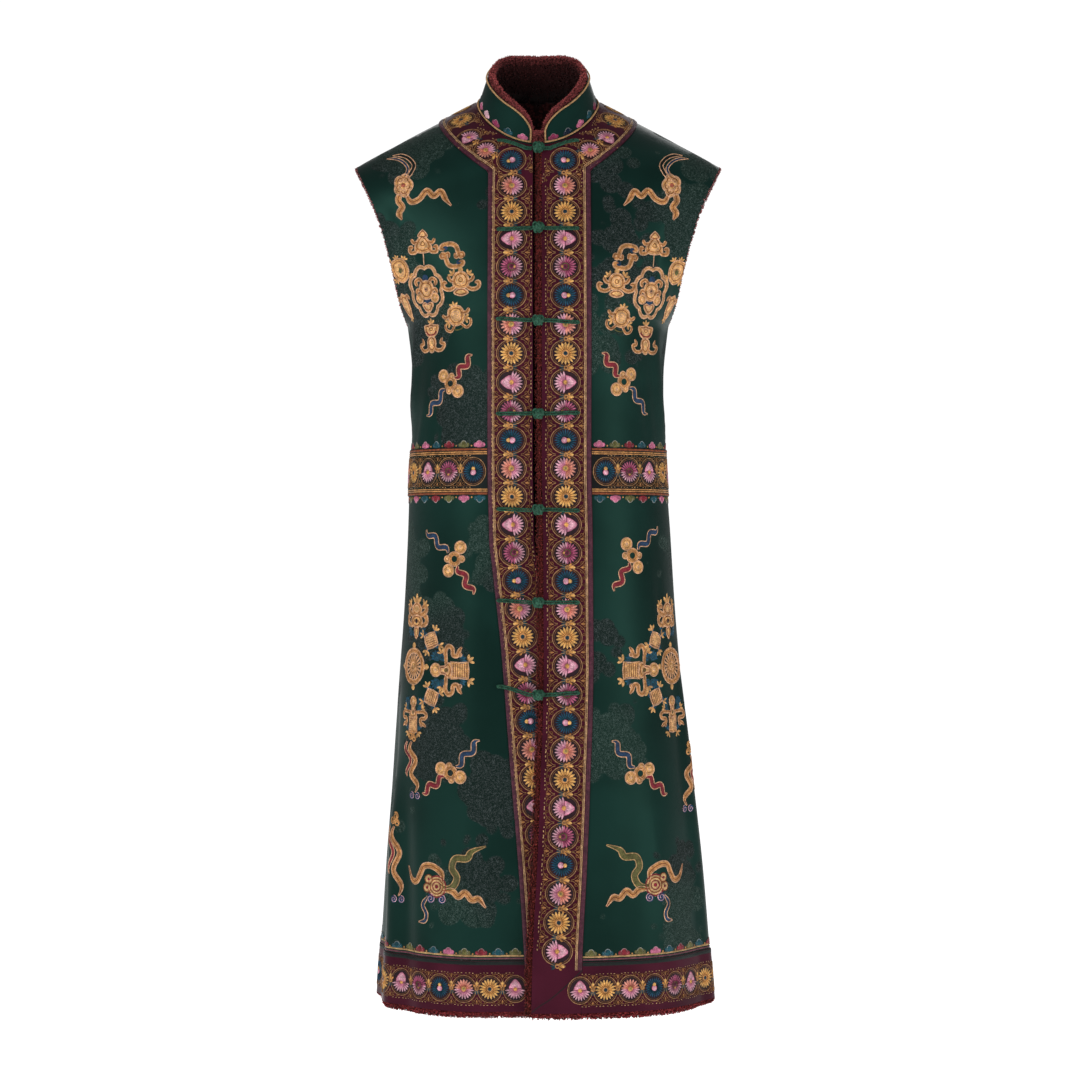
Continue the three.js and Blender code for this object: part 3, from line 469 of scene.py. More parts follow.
def tube(rings, closed=False):
    """A solid through rings of points, its ends closed by a flat face fan."""
    count, sides = rings.shape[:2]
    index = np.arange(count * sides).reshape(count, sides)
    wrapped = np.append(index, index[:, :1], axis=1)
    points = rings.reshape(-1, 3)
    if closed:
        return points, quads(np.append(wrapped, wrapped[:1], axis=0))
    faces = [quads(wrapped)]
    for hub, ring in enumerate([wrapped[0][::-1], wrapped[-1]]):
        middle = np.full(sides, count * sides + hub)
        faces.append(np.stack([ring[:-1], ring[1:], middle, middle], axis=1))
    ends = rings[[0, -1]].mean(axis=1)
    return np.append(points, ends, axis=0), np.concatenate(faces)


def merge(parts):
    """Several (points, faces) as one."""
    start = np.cumsum([0] + [len(points) for points, _ in parts[:-1]])
    faces = [faces + first for (_, faces), first in zip(parts, start)]
    return np.concatenate([points for points, _ in parts]), np.concatenate(faces)


def mirrored(halves):
    """The left and right halves of the back as one solid, welded down the middle."""
    (left, left_faces), (right, right_faces) = halves
    points, faces = merge([(left, left_faces), (right, right_faces[:, ::-1])])
    welded, number = np.unique(points.round(3) + 0.0, axis=0, return_inverse=True)
    return welded, number.ravel()[faces]


def outward(points, faces):
    """The faces turned so that the solid's volume is positive."""
    a, b, c = (points[faces[:, k]] - points.mean(axis=0) for k in range(3))
    d = points[faces[:, -1]] - points.mean(axis=0)
    volume = (a * np.cross(b, c)).sum() + (a * np.cross(c, d)).sum()
    return faces[:, ::-1] if volume < 0 else faces


def build_mesh(name, points, faces, material, shades=None, thread=None, sharp=50):
    """Makes an object, with a shade per point and thread directions as its UV map where they
    are given."""
    listed = [list(dict.fromkeys(face)) for face in faces.tolist()]
    mesh = bpy.data.meshes.new(name)
    mesh.from_pydata((points * MM).tolist(), [], listed)
    mesh.shade_smooth()
    mesh.set_sharp_from_angle(angle=radians(sharp))
    if shades is not None:
        colour = mesh.color_attributes.new("shade", "FLOAT_COLOR", "POINT")
        colour.data.foreach_set("color", np.append(shades, np.ones((len(shades), 1)), 1).ravel())
    if thread is not None:
        corner = np.empty(len(mesh.loops), int)
        mesh.loops.foreach_get("vertex_index", corner)
        mesh.uv_layers.new(name="thread").data.foreach_set("uv", thread[corner].ravel())
    mesh.materials.append(material)
    piece = bpy.data.objects.new(name, mesh)
    bpy.context.collection.objects.link(piece)
    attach(piece, "root")
    return piece


def add_piece(name, solid, material, replaces, shades=None, sharp=50):
    """The visual form of CAD pieces, from (points, faces)."""
    points, faces = solid
    piece = build_mesh(name, points, outward(points, faces), material, shades, sharp=sharp)
    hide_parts(*replaces)
    return piece


# ---------------------------------------------------------------- materials
GREEN = (0.0046, 0.0176, 0.0146)
# GREEN_LIT is the green with painted light, for the damask's ground
GREEN_LIT = (0.0076, 0.0285, 0.0235)
# a dark green for bands and threads, which the damask's ground also uses as its painted shade
GREEN_DARK = (0.0024, 0.0078, 0.0064)
CRINKLE = (0.056, 0.084, 0.074)
BURGUNDY = (0.034, 0.0048, 0.011)
# the lining's pile, darkened with painted shade for the inside of the coat
FUR = (0.03, 0.006, 0.006)
GOLD = (0.44, 0.25, 0.12)
CORD_GREEN = (0.010, 0.052, 0.030)


class Nodes:
    """A material's node tree, with short ways to add to it."""

    def __init__(self, name, roughness, **shader):
        self.material = bpy.data.materials.new(name)
        self.material.use_nodes = True
        self.tree = self.material.node_tree
        self.shader = self.tree.nodes["Principled BSDF"]
        self.put(self.shader, Roughness=roughness, **shader)

    def feed(self, sockets, values):
        for socket, value in zip(sockets, values):
            if isinstance(value, bpy.types.NodeSocket):
                self.tree.links.new(value, socket)
            elif isinstance(value, tuple) and socket.type == "RGBA":
                socket.default_value = (*value, 1)
            else:
                socket.default_value = value

    def put(self, node, **inputs):
        self.feed([node.inputs[name.replace("_", " ")] for name in inputs], inputs.values())

    def add(self, kind, **inputs):
        node = self.tree.nodes.new("ShaderNode" + kind)
        self.put(node, **inputs)
        return node

    def place(self):
        return self.add("TexCoord").outputs["Object"]

    def math(self, operation, first, second=0.0, third=0.0):
        node = self.tree.nodes.new("ShaderNodeMath")
        node.operation = operation
        self.feed(node.inputs, (first, second, third))
        return node.outputs[0]

    def noise(self, scale, detail=2.0, distortion=0.0):
        settings = {"Scale": scale, "Detail": detail, "Distortion": distortion}
        return self.add("TexNoise", Vector=self.place(), **settings).outputs["Fac"]

    def cells(self, scale):
        return self.add("TexVoronoi", Vector=self.place(), Scale=scale).outputs["Distance"]

    def ramp(self, value, low, high, to_low=0.0, to_high=1.0):
        node = self.add("MapRange", Value=value)
        node.interpolation_type = "SMOOTHSTEP"
        self.put(node, From_Min=low, From_Max=high, To_Min=to_low, To_Max=to_high)
        return node.outputs["Result"]

    def mix(self, share, first, second, blend="MIX"):
        node = self.tree.nodes.new("ShaderNodeMix")
        node.data_type = "RGBA"
        node.blend_type = blend
        self.feed([node.inputs[k] for k in (0, 6, 7)], (share, first, second))
        return node.outputs[2]

    def bump(self, height, distance, strength=1.0, normal=None):
        node = self.add("Bump", Height=height, Distance=distance * MM, Strength=strength)
        if normal is not None:
            self.put(node, Normal=normal)
        return node.outputs["Normal"]

    def finish(self, **inputs):
        self.put(self.shader, **inputs)
        return self.material


def damask():
    """Dark green silk velvet with scalloped clouds of fine crinkled weave, and painted light and
    shade that drift over its ground.
    """
    n = Nodes("damask", 0.36, Specular_IOR_Level=0.14, Specular_Tint=(0.3, 0.85, 0.65))
    # Painted light and shade: the ground drifts at random between a shaded and a lit copy of the
    # green.
    drift = n.noise(7, 3)
    ground = n.mix(n.ramp(drift, 0.36, 0.66), GREEN_DARK, GREEN_LIT)
    ground = n.mix(0.45, GREEN, ground)
    lobes = n.math("MULTIPLY", n.cells(42), 0.34)
    cloud = n.math("ADD", n.cells(8.5), lobes)
    inside = n.ramp(cloud, 0.61, 0.57)
    worm = n.math("ABSOLUTE", n.math("SUBTRACT", n.noise(430, 1.5, distortion=1.0), 0.5))
    line = n.ramp(worm, 0.045, 0.01)
    kind = n.ramp(n.noise(6, 0), 0.42, 0.58)
    between = n.mix(kind, (0.006, 0.009, 0.0085), (0.008, 0.018, 0.0145))
    thread = n.mix(kind, (0.050, 0.058, 0.060), CRINKLE)
    colour = n.mix(inside, ground, n.mix(line, between, thread))
    grain = n.bump(n.noise(1500, 1), 0.08)
    raised = n.math("MULTIPLY", line, inside)
    rough = n.math("ADD", 0.36, n.math("MULTIPLY", inside, 0.22))
    return n.finish(Base_Color=colour, Roughness=rough, Normal=n.bump(raised, 0.25, 0.6, grain))


def satin(name, colour, painted_light):
    """Woven satin: a soft painted sheen that drifts in its colour, over fine ribs."""
    n = Nodes(name, 0.4, Specular_IOR_Level=0.12, Specular_Tint=(0.9, 0.4, 0.55))
    # Painted sheen: the colour drifts at random toward its lighter copy.
    tint = n.mix(n.ramp(n.noise(14, 2), 0.35, 0.7), colour, painted_light)
    return n.finish(Base_Color=tint, Normal=n.bump(n.noise(1400, 1), 0.1))


def fleece(name, colour):
    """Curled shearling, with painted shade between its locks."""
    n = Nodes(name, 0.95, Specular_IOR_Level=0.05, Sheen_Weight=0.05)
    curls = n.math("ADD", n.cells(260), n.math("MULTIPLY", n.noise(700, 2), 0.5))
    # painted shade: a copy of the colour at a fifth of its brightness, between the locks
    painted_shade = tuple(c * 0.2 for c in colour)
    tint = n.mix(n.ramp(curls, 0.95, 0.45), painted_shade, colour)
    return n.finish(Base_Color=tint, Normal=n.bump(n.math("SUBTRACT", 1.0, curls), 1.2))


def shaded(name, roughness, **shader):
    """A material whose colour is the shade that each of its points carries."""
    n = Nodes(name, roughness, **shader)
    shade = n.tree.nodes.new("ShaderNodeAttribute")
    shade.attribute_name = "shade"
    return n, shade.outputs["Color"]


def fur():
    n, shade = shaded("fur", 0.8, Specular_IOR_Level=0.08, Sheen_Weight=0.05)
    fine = n.ramp(n.noise(900, 2), 0.3, 0.7, 0.7, 1.25)
    tint = n.mix(1.0, shade, fine, "MULTIPLY")
    return n.finish(Base_Color=tint, Normal=n.bump(n.noise(1800, 1), 0.15))


def stitched():
    """Silk and gold thread, laid side by side across the thread map, with painted shade between its
    strands.
    """
    n, shade = shaded("thread", 0.42, Specular_IOR_Level=0.2)
    along = n.add("SeparateXYZ", Vector=n.add("TexCoord").outputs["UV"]).outputs["X"]
    wander = n.math("MULTIPLY", n.noise(260, 1), 1.4)
    turn = n.math("MULTIPLY_ADD", along, 2 * pi / THREAD_WIDTH, wander)
    strand = n.math("MULTIPLY_ADD", n.math("SINE", turn), 0.5, 0.5)
    mottling = n.ramp(n.noise(200, 3), 0.32, 0.68, 0.62, 1.25)
    loops = n.ramp(n.cells(750), 0.15, 0.6, 1.15, 0.68)
    # Painted shade between the strands and round each couched loop, with a painted highlight on their
    # crowns, times the thread's own random tone.
    depth = n.math("MULTIPLY", n.ramp(strand, 0, 1, 0.72, 1.15), n.math("MULTIPLY", mottling, loops))
    tint = n.mix(1.0, shade, depth, "MULTIPLY")
    return n.finish(Base_Color=tint, Normal=n.bump(strand, 0.12, 0.7))


def cording(name, colour, sheen):
    """Twisted cord, its colour mottled at random between a painted shade and a painted sheen."""
    n = Nodes(name, 0.45, Specular_IOR_Level=0.2)
    # painted shade and painted sheen, mixed by noise into the cord's colour
    painted_shade = tuple(c * 0.35 for c in colour)
    mottling = n.mix(n.ramp(n.noise(420, 2), 0.3, 0.7), painted_shade, sheen)
    tint = n.mix(0.55, colour, mottling)
    return n.finish(Base_Color=tint, Normal=n.bump(n.noise(1100, 2), 0.2))


THREAD_WIDTH = 0.55
DAMASK = damask()
# Each satin's second colour is its painted sheen.
SATIN = satin("satin_band", BURGUNDY, tuple(c * 1.5 for c in BURGUNDY))
GREEN_BAND = satin("green_band", GREEN_DARK, GREEN)
FLEECE = fleece("fleece", FUR)
FUR_LOCKS = fur()
THREAD = stitched()
GOLD_CORD = cording("gold_cord", GOLD, (0.7, 0.42, 0.18))
GREEN_CORD = cording("green_cord", CORD_GREEN, (0.04, 0.15, 0.09))


# ---------------------------------------------------------------- cloth
def layer(point, normal, distance):
    return point + normal * distance


def area_of(solid):
    """Half the surface of a thin closed solid, in square metres."""
    points, faces = solid
    a, b, c, d = (points[faces[:, k]] * MM for k in range(4))
    return np.linalg.norm(np.cross(c - a, d - b), axis=1).sum() / 4


def panel_wall(panel, skip, outside, inside, joined):
    """One panel's part of a layer, over every skip-th row and column of its fine grid."""
    rows = slice(None, None, skip)
    point, normal = panel.point[rows, rows], panel.normal[rows, rows]
    below = int((panel.t[rows] <= 1 + CORNER_ANGLE["back"] / 180).sum()) - 1
    open_rows = below if joined else 0
    return shell(layer(point, normal, outside), layer(point, normal, inside), open_rows)


def add_panels(layer_name, nodes, material, faces, skips):
    """The two fronts and the back of one layer, each with its area."""
    solids = [panel_wall(panel, skips[0], *faces, False) for panel in (left_front, right_front)]
    solids.append(mirrored([panel_wall(half, skips[1], *faces, True) for half in panels[2:]]))
    made = []
    for part, node, solid in zip(("left", "right", "back"), nodes, solids):
        piece = add_piece(f"{layer_name}_{part}", solid, material, (node,))
        made.append((piece, area_of(solid)))
    return made


CLOTH_NODES = ("front_left", "front_right", "back")
LINING_NODES = ("shearling_left", "shearling_right", "shearling_back")
CLOTH_SHOWN = 1.2  # the shell's thickness
LINING_FACES = (-CLOTH - GAP, -CLOTH - GAP - PILE)
cloth = add_panels("cloth", CLOTH_NODES, DAMASK, (0, -CLOTH_SHOWN), (4, 4))
add_panels("lining", LINING_NODES, FLEECE, LINING_FACES, (4, 5))


# ---------------------------------------------------------------- bands
BAND_TOP = GAP + BAND  # the bands' face above the cloth


def band_wall(panel, rows, from_share, to_share, columns, joined=0):
    q = np.linspace(0, 1, columns + 1)
    s = lerp(from_share[:, None], to_share[:, None], q)
    point, normal = panel.place(s, rows[:, None])
    return shell(layer(point, normal, BAND_TOP), layer(point, normal, GAP), joined)


def add_front_bands():
    for panel in (left_front, right_front):
        rows = panel.t[::2]
        edge = band_share(panel, rows)
        solid = band_wall(panel, rows, np.zeros_like(edge), edge, 12)
        name = f"front_band_{panel.kind}"
        add_piece(f"satin_{name}", solid, SATIN, (name,))


def add_cross_bands(name, low_z, high_z, material):
    rows = np.linspace(row_at(low_z), row_at(high_z), 13)
    for panel in (left_front, right_front):
        solid = band_wall(panel, rows, band_share(panel, rows) + 0.001, np.ones(13), 64)
        add_piece(f"sewn_{name}_{panel.kind}", solid, material, (f"{name}_{panel.kind}",))
    none, all_of_it = np.zeros(13), np.ones(13)
    halves = [band_wall(half, rows, none, all_of_it, 64, 12) for half in panels[2:]]
    add_piece(f"sewn_{name}_back", mirrored(halves), material, (f"{name}_back",))


BACK_BAND_DROP = 49
drop_share = (NECK_BACK[1] - BACK_BAND_DROP - UNDERARM_Z) / (NECK_BACK[1] - UNDERARM_Z)
BACK_BAND_START = 1 + drop_share ** (1 / CHEST_SPREAD) * CORNER_ANGLE["back"] / 180


def add_neck_band():
    rows = np.linspace(BACK_BAND_START, 2, 60)
    halves = []
    for half in panels[2:]:
        edge = band_share(half, rows)
        below = int((rows <= 1 + CORNER_ANGLE["back"] / 180).sum()) - 1
        halves.append(band_wall(half, rows, np.zeros_like(edge), edge, 16, below))
    add_piece("satin_neck_band_back", mirrored(halves), SATIN, ("neck_band_back",))


add_front_bands()
add_cross_bands("waist_band", WAIST_BAND_BOTTOM_Z, WAIST_BAND_TOP_Z, GREEN_BAND)
add_cross_bands("hem_band", HEM_Z, HEM_BAND_TOP_Z, SATIN)
add_neck_band()


# ---------------------------------------------------------------- collar
COLLAR_BASE = 1.3  # above the neck seam
COLLAR_FACE = -0.5  # its outer face, inside the neck seam
COLLAR_LEAN = 14
COLLAR_FRONT_GAP = 8
COLLAR_CORNER = 36
COLLAR_TIP = np.degrees(np.arcsin(COLLAR_FRONT_GAP / NECK_HALF_WIDTH))


def collar_top(angle):
    """The collar's height, rounded off toward its front ends."""
    turned = np.minimum(angle, 360 - angle)
    length = np.radians(turned - COLLAR_TIP) * NECK_HALF_WIDTH
    rounding = (1 - (1 - np.clip(length / COLLAR_CORNER, 0, 1)) ** 2.2) ** 0.5
    return collar_height(turned) * (0.3 + 0.7 * rounding)


def collar_frame(angle):
    """Directions out from the collar and up its leaning face."""
    along = neck_point(angle + 0.5) - neck_point(angle - 0.5)
    out = unit(join(-along[..., 1], along[..., 0], 0))
    turn = np.radians(angle)
    outward_way = join(np.sin(turn), -np.cos(turn), 0)
    out = np.where((out * outward_way).sum(axis=-1, keepdims=True) < 0, -out, out)
    lean = atan(COLLAR_LEAN / COLLAR[0][1])
    up = np.array([0, 0, 1.0])
    return out * np.cos(lean) + up * np.sin(lean), up * np.cos(lean) - out * np.sin(lean)


def collar_point(angle, height, outward_by):
    out, up = collar_frame(angle)
    angle, height, outward_by = np.broadcast_arrays(angle, height, outward_by)
    return neck_point(angle) + out * outward_by[..., None] + up * height[..., None]


def all_round(near, count):
    """Angles right round the neck: those near the front, even ones to the back, and the same
    in mirror."""
    half = np.concatenate([near, np.linspace(near[-1], 180, count)[1:]])
    return np.append(half, 360 - half[-2::-1])


def add_collar():
    angles = all_round(np.linspace(0, 1, 30) ** 1.6 * 30 + COLLAR_TIP, 60)
    height = lerp(COLLAR_BASE, collar_top(angles), np.linspace(0, 1, 13)[:, None])
    faces = (COLLAR_FACE, COLLAR_FACE - CLOTH_SHOWN)
    solid = shell(*(collar_point(angles[None], height, face) for face in faces))
    return add_piece("collar_cloth", solid, DAMASK, ("collar",)), area_of(solid)


collar = add_collar()


# ---------------------------------------------------------------- fur
FUR_LENGTH = 4.4
LOCK_SIDES = 3
LOCK_LEVELS = ((0, 0, 0.8), (0.62, 0.45, 0.68))  # along, bend, radius
# Where locks grow past a cloth edge: out from it and up from the cloth's face, and back under.
EDGE_ROOTS = [
    (-1.2, -1.9), (1, -1.5), (3.4, -1.4), (5.2, -2.6), (5.8, -4.4), (5.2, -6.2), (3.2, -7.4),
    (0.6, -8),
]
HEM_TAPER = 110  # how far from the side seams the hem's pile narrows
HEM_LEAST = 0.2
HEM_LOCKS = 0.85
# At the armholes less of the same pile shows, in shorter locks.
ARMHOLE_SHOWN = (0.1, 0.3)  # low down and near the shoulder
ARMHOLE_LOCKS = 0.6


def along_profile(profile, count):
    """Evenly spaced places on a smooth open profile, and the directions out of it."""
    profile = np.array(profile, float)
    length = distance_along(profile)
    at = np.linspace(0, length[-1], count)
    place = np.stack([np.interp(at, length, profile[:, k]) for k in range(2)], axis=1)
    return place, unit(quarter_turn(np.gradient(place, axis=0)))


LOCK_TIP = len(LOCK_LEVELS) * LOCK_SIDES  # the number of a lock's last point
# Painted shade darkens a lock toward its root; its tip is lighter.
LOCK_PAINTED_SHADE = np.repeat([0.35, 0.95, 1.6], [LOCK_SIDES, LOCK_SIDES, 1])  # dark at its root


def lock_faces():
    """One lock's triangles, between its rings and round its tip."""
    last = LOCK_TIP - LOCK_SIDES
    faces = []
    for first in range(0, last, LOCK_SIDES):
        for k in range(LOCK_SIDES):
            a, b = first + k, first + (k + 1) % LOCK_SIDES
            faces += [(a, b, b + LOCK_SIDES), (a, b + LOCK_SIDES, a + LOCK_SIDES)]
    faces += [(last + k, last + (k + 1) % LOCK_SIDES, LOCK_TIP) for k in range(LOCK_SIDES)]
    return np.array(faces)


def locks(root, out, length, shade):
    """Curly locks: each a tapered three-sided horn that bends over."""
    count = len(root)
    side = unit(np.cross(out, unit(random.normal(size=(count, 3)))))
    other = np.cross(out, side)
    lean = unit(out + side * random.uniform(0.2, 0.75, (count, 1)))
    wide = random.uniform(0.75, 1.25, (count, 1))
    bend = random.uniform(0.3, 0.8, (count, 1))
    length = length[:, None]
    rings = []
    for along, over, radius in LOCK_LEVELS:
        middle = root + lean * length * along + other * length * bend * over * 0.5
        for k in range(LOCK_SIDES):
            turn = 2 * pi * k / LOCK_SIDES + along * 2
            spoke = side * np.cos(turn) + other * np.sin(turn)
            rings.append(middle + spoke * wide * radius)
    tip = root + lean * length + (other - lean * 0.4) * length * bend * 0.9
    points = np.stack([*rings, tip], axis=1)
    faces = lock_faces() + np.arange(count)[:, None, None] * (LOCK_TIP + 1)
    colour = shade[:, None, :] * LOCK_PAINTED_SHADE[None, :, None]
    return points.reshape(-1, 3), faces.reshape(-1, 3), colour.reshape(-1, 3)


def lock_places(base, out, painted_light, closed, density):
    """Random places on a pile's core, the directions out of it and the painted light and shade there.
    """
    spots = base.shape[1]
    along = np.linalg.norm(np.diff(base, axis=0), axis=-1).mean(axis=1).sum()
    around = np.linalg.norm(np.diff(base, axis=1), axis=-1).sum(axis=1).mean()
    count = int(along * around * density)
    i = random.uniform(0, len(base) - (0 if closed else 1) - 1e-6, count)
    j = random.uniform(0, spots - 1 - 1e-6, count)
    a, b = i.astype(int), j.astype(int)
    p, q = (i - a)[:, None], (j - b)[:, None]
    rows = (a, (a + 1) % len(base))
    here = painted_light[b] * (1 - q[:, 0]) + painted_light[b + 1] * q[:, 0]
    return between(base, rows, b, p, q), unit(between(out, rows, b, p, q)), here


# The core and its end caps, under the locks, are darkened with painted shade.
CORE_PAINTED_SHADE = 0.45  # the core's share of the pile's colour
END_PAINTED_SHADE = 0.2


def add_fur(name, node, base, out, colour, closed=False, density=0.39, size=1.0, painted_light=None):
    """A piece of pile: a core through rings of base points, and locks that grow out of it.
    base and out are rings of points and directions; the last argument gives the painted light and
    shade at each place across."""
    painted_light = np.ones(base.shape[1]) if painted_light is None else np.array(painted_light)
    points, faces = tube(base + out * 0.2, closed)
    root, way, here = lock_places(base, out, painted_light, closed, density)
    shade = np.array(colour) * random.uniform(0.55, 1.5, (len(root), 1)) * here[:, None]
    length = FUR_LENGTH * size * random.uniform(0.7, 1.15, len(root))
    lock_points, triangles, lock_shades = locks(root, way, length, shade)
    core = np.outer(np.tile(painted_light, len(base)), colour) * CORE_PAINTED_SHADE
    ends = np.tile(np.array(colour) * END_PAINTED_SHADE, (len(points) - len(core), 1))
    pile = lock_points, np.append(triangles, triangles[:, -1:], axis=1)
    solid = merge([(points, outward(points, faces)), pile])
    shades = np.concatenate([core, ends, lock_shades])
    add_piece(name, solid, FUR_LOCKS, (node,), shades, sharp=180)


FUR_INSET = 3.4  # how far the locks' roots lie inside the collar pile's outer form
SPOTS = 9  # places across a pile


def edge_rings(point, normal, out, shown):
    """Rings of roots round the pile on a cloth edge, and the ways that its locks point.
    shown is the share of the pile's reach at each ring."""
    root, way = along_profile(EDGE_ROOTS, SPOTS)
    away = np.minimum(root[:, 0], 0) + np.maximum(root[:, 0], 0) * shown[:, None]
    base = point[:, None] + out[:, None] * away[..., None] + normal[:, None] * root[None, :, 1:]
    ways = out[:, None] * way[None, :, :1] + normal[:, None] * way[None, :, 1:]
    return base, unit(ways)


def border(point, inner_point, normal):
    """Directions out from a border, in the cloth's plane."""
    out = point - inner_point
    return unit(out - normal * (out * normal).sum(axis=-1, keepdims=True))


def hem_border(panel):
    """A panel's hem: points, normals and directions out of it."""
    s = panel.s[::2]
    point, normal = panel.place(np.broadcast_to(s, (2, len(s))), np.array([[0], [0.01]]))
    return point[0], normal[0], border(point[0], point[1], normal[0])


def hem_shown(point):
    """The hem's pile shows less toward the side seams."""
    return lerp(HEM_LEAST, 1, ease(np.abs(point[:, 1]) / HEM_TAPER))


def add_hem_fur():
    for panel in (left_front, right_front):
        edge = hem_border(panel)
        base, ways = edge_rings(*edge, hem_shown(edge[0]))
        name, node = f"fur_hem_{panel.kind}", f"hem_pile_{panel.kind}"
        add_fur(name, node, base, ways, FUR_HEM, density=0.56, size=HEM_LOCKS)
    left, right = hem_border(back_left), hem_border(back_right)
    whole = [np.concatenate([a[::-1], b[1:]]) for a, b in zip(left, right)]
    base, ways = edge_rings(*whole, hem_shown(whole[0]))
    add_fur("fur_hem_back", "hem_pile_back", base, ways, FUR_HEM, density=0.48, size=HEM_LOCKS)


def add_front_fur():
    """The left front's pile, which fills the opening between the fronts."""
    t = np.linspace(0, 1 + CORNER_ANGLE["left"] / 180 - 0.01, 240)
    s = np.broadcast_to([0, 0.01], (len(t), 2))
    point, normal = left_front.place(s, t[:, None])
    out = border(point[:, 0], point[:, 1], normal[:, 0])
    below = hem_border(left_front)
    corner = point[:1, 0] + below[2][:1] * (PILE_SHOWS - 5)
    edge = np.concatenate([corner, point[:, 0]])
    normals = np.concatenate([normal[:1, 0], normal[:, 0]])
    outs = np.concatenate([out[:1], out])
    base, ways = edge_rings(edge, normals, outs, np.ones(len(edge)))
    add_fur("fur_front", "front_pile", base, ways, FUR_STRIP)


def add_armhole_fur():
    for side, front, back in (("left", left_front, back_left), ("right", right_front, back_right)):
        t = np.linspace(1, 2, 70)
        s = np.broadcast_to([1, 0.98], (len(t), 2))
        edges = []
        for panel, order in ((front, 1), (back, -1)):
            point, normal = panel.place(s, t[:, None])
            out = border(point[:, 0], point[:, 1], normal[:, 0])
            edges.append([part[::order] for part in (point[:, 0], normal[:, 0], out)])
        point, normal, out = (np.concatenate([a, b[1:-1]]) for a, b in zip(*edges))
        middle = point.mean(axis=0)
        along = np.roll(point, -1, axis=0) - np.roll(point, 1, axis=0)
        out = unit(np.cross(along, normal))
        out = np.where(((middle - point) * out).sum(axis=1, keepdims=True) < 0, -out, out)
        reach = lerp(*ARMHOLE_SHOWN, ease((point[:, 2] + 180) / 80))
        base, ways = edge_rings(point, normal, out, reach)
        node = f"armhole_pile_{side}"
        add_fur(f"fur_armhole_{side}", node, base, ways, FUR_ARMHOLE, True, size=ARMHOLE_LOCKS)


def add_collar_fur():
    """The collar's shearling rolls over its top edge and closes the gap in front."""
    tip = COLLAR_TIP
    near = tip + np.linspace(0, 1, 20) ** 1.6 * 30
    angles = all_round(np.append(np.linspace(0.8, tip - 0.4, 5), near), 50)
    from_front = np.minimum(angles, 360 - angles)
    top = collar_top(np.maximum(from_front, tip))
    rise = np.maximum(top, 6)
    low = np.where(from_front >= tip, top, COLLAR_BASE)
    inner = COLLAR_FACE - CLOTH - GAP - PILE
    form = [  # height, and how far out
        (low + 0.5, COLLAR_FACE), (rise + 4, COLLAR_FACE), (rise + 7.4, COLLAR_FACE - 2),
        (rise + 8.8, COLLAR_FACE - 5), (rise + 6.5, COLLAR_FACE - 8.4),
        (rise - 3, COLLAR_FACE - 8.8), ((rise + COLLAR_BASE) / 2, inner), (COLLAR_FOOT, inner),
    ]
    ways = [(0.2, 1), (0.4, 1), (1, 0.6), (1, -0.4), (0.5, -1), (0, -1), (0, -1), (-0.3, -1)]
    out, up = collar_frame(angles)
    bases, directions = [], []
    for (height, outward_by), way in zip(form, ways):
        rising, going_out = unit(np.array(way, float))
        root = height - rising * FUR_INSET, outward_by - going_out * FUR_INSET
        bases.append(collar_point(angles, *root))
        directions.append(unit(up * rising + out * going_out))
    base, way = np.stack(bases, axis=1), np.stack(directions, axis=1)
    add_fur("fur_collar", "collar_pile", base, way, FUR_COLLAR, painted_light=COLLAR_PAINTED_LIGHT)


COLLAR_FOOT = -4  # its shearling reaches down over the lining's neck edge
# Painted light on the collar's rolled rim and painted shade down inside it.
COLLAR_PAINTED_LIGHT = (0.8, 1, 1.2, 1.2, 0.8, 0.22, 0.1, 0.06)  # dark down inside
# The same pile at each place, in a colour that carries that place's painted light and shade: darkest
# in the front opening, lightest at the armholes.
FUR_STRIP = (0.15, 0.022, 0.018)
FUR_HEM = (0.235, 0.028, 0.031)
FUR_COLLAR = (0.28, 0.058, 0.058)
FUR_ARMHOLE = (0.36, 0.13, 0.13)
add_hem_fur()
add_front_fur()
add_armhole_fur()
add_collar_fur()


# ---------------------------------------------------------------- cords
def frames(path):
    """Two directions across a path at each point, turned as little as they can be."""
    along = unit(np.gradient(path, axis=0))
    normal = np.array([0.3, 0.2, 1.0])
    normals = []
    for way in along:
        normal = unit(normal - way * (normal @ way))
        normals.append(normal)
    return np.cross(along, normals), np.array(normals)


def tube_along(path, radius, sides):
    """A round cord along points."""
    across, normals = frames(path)
    turn = 2 * pi * np.arange(sides)[:, None] / sides
    spokes = np.cos(turn) * across[:, None] + np.sin(turn) * normals[:, None]
    return tube(path[:, None] + radius * spokes)


def resample(path, step):
    """The same path in even steps."""
    length = distance_along(path)
    at = np.linspace(0, length[-1], max(int(length[-1] / step), 2))
    return np.stack([np.interp(at, length, path[:, k]) for k in range(3)], axis=1)


def twisted(path, radius, pitch, strands=2, sides=4, steps=7):
    """Strands wound round a path."""
    path = resample(path, pitch / steps)
    across, normals = frames(path)
    parts = []
    for strand in range(strands):
        turn = 2 * pi * (np.arange(len(path)) / steps + strand / strands)
        centre = path + radius * 0.52 * (
            across * np.cos(turn)[:, None] + normals * np.sin(turn)[:, None]
        )
        parts.append(tube_along(centre, radius * 0.56, sides))
    return merge(parts)


PIPING = 1.1  # the piping's radius
PIPING_OUT = COLLAR_FACE + GAP + PIPING
PIPING_HEIGHT = 3.6  # above the neck seam


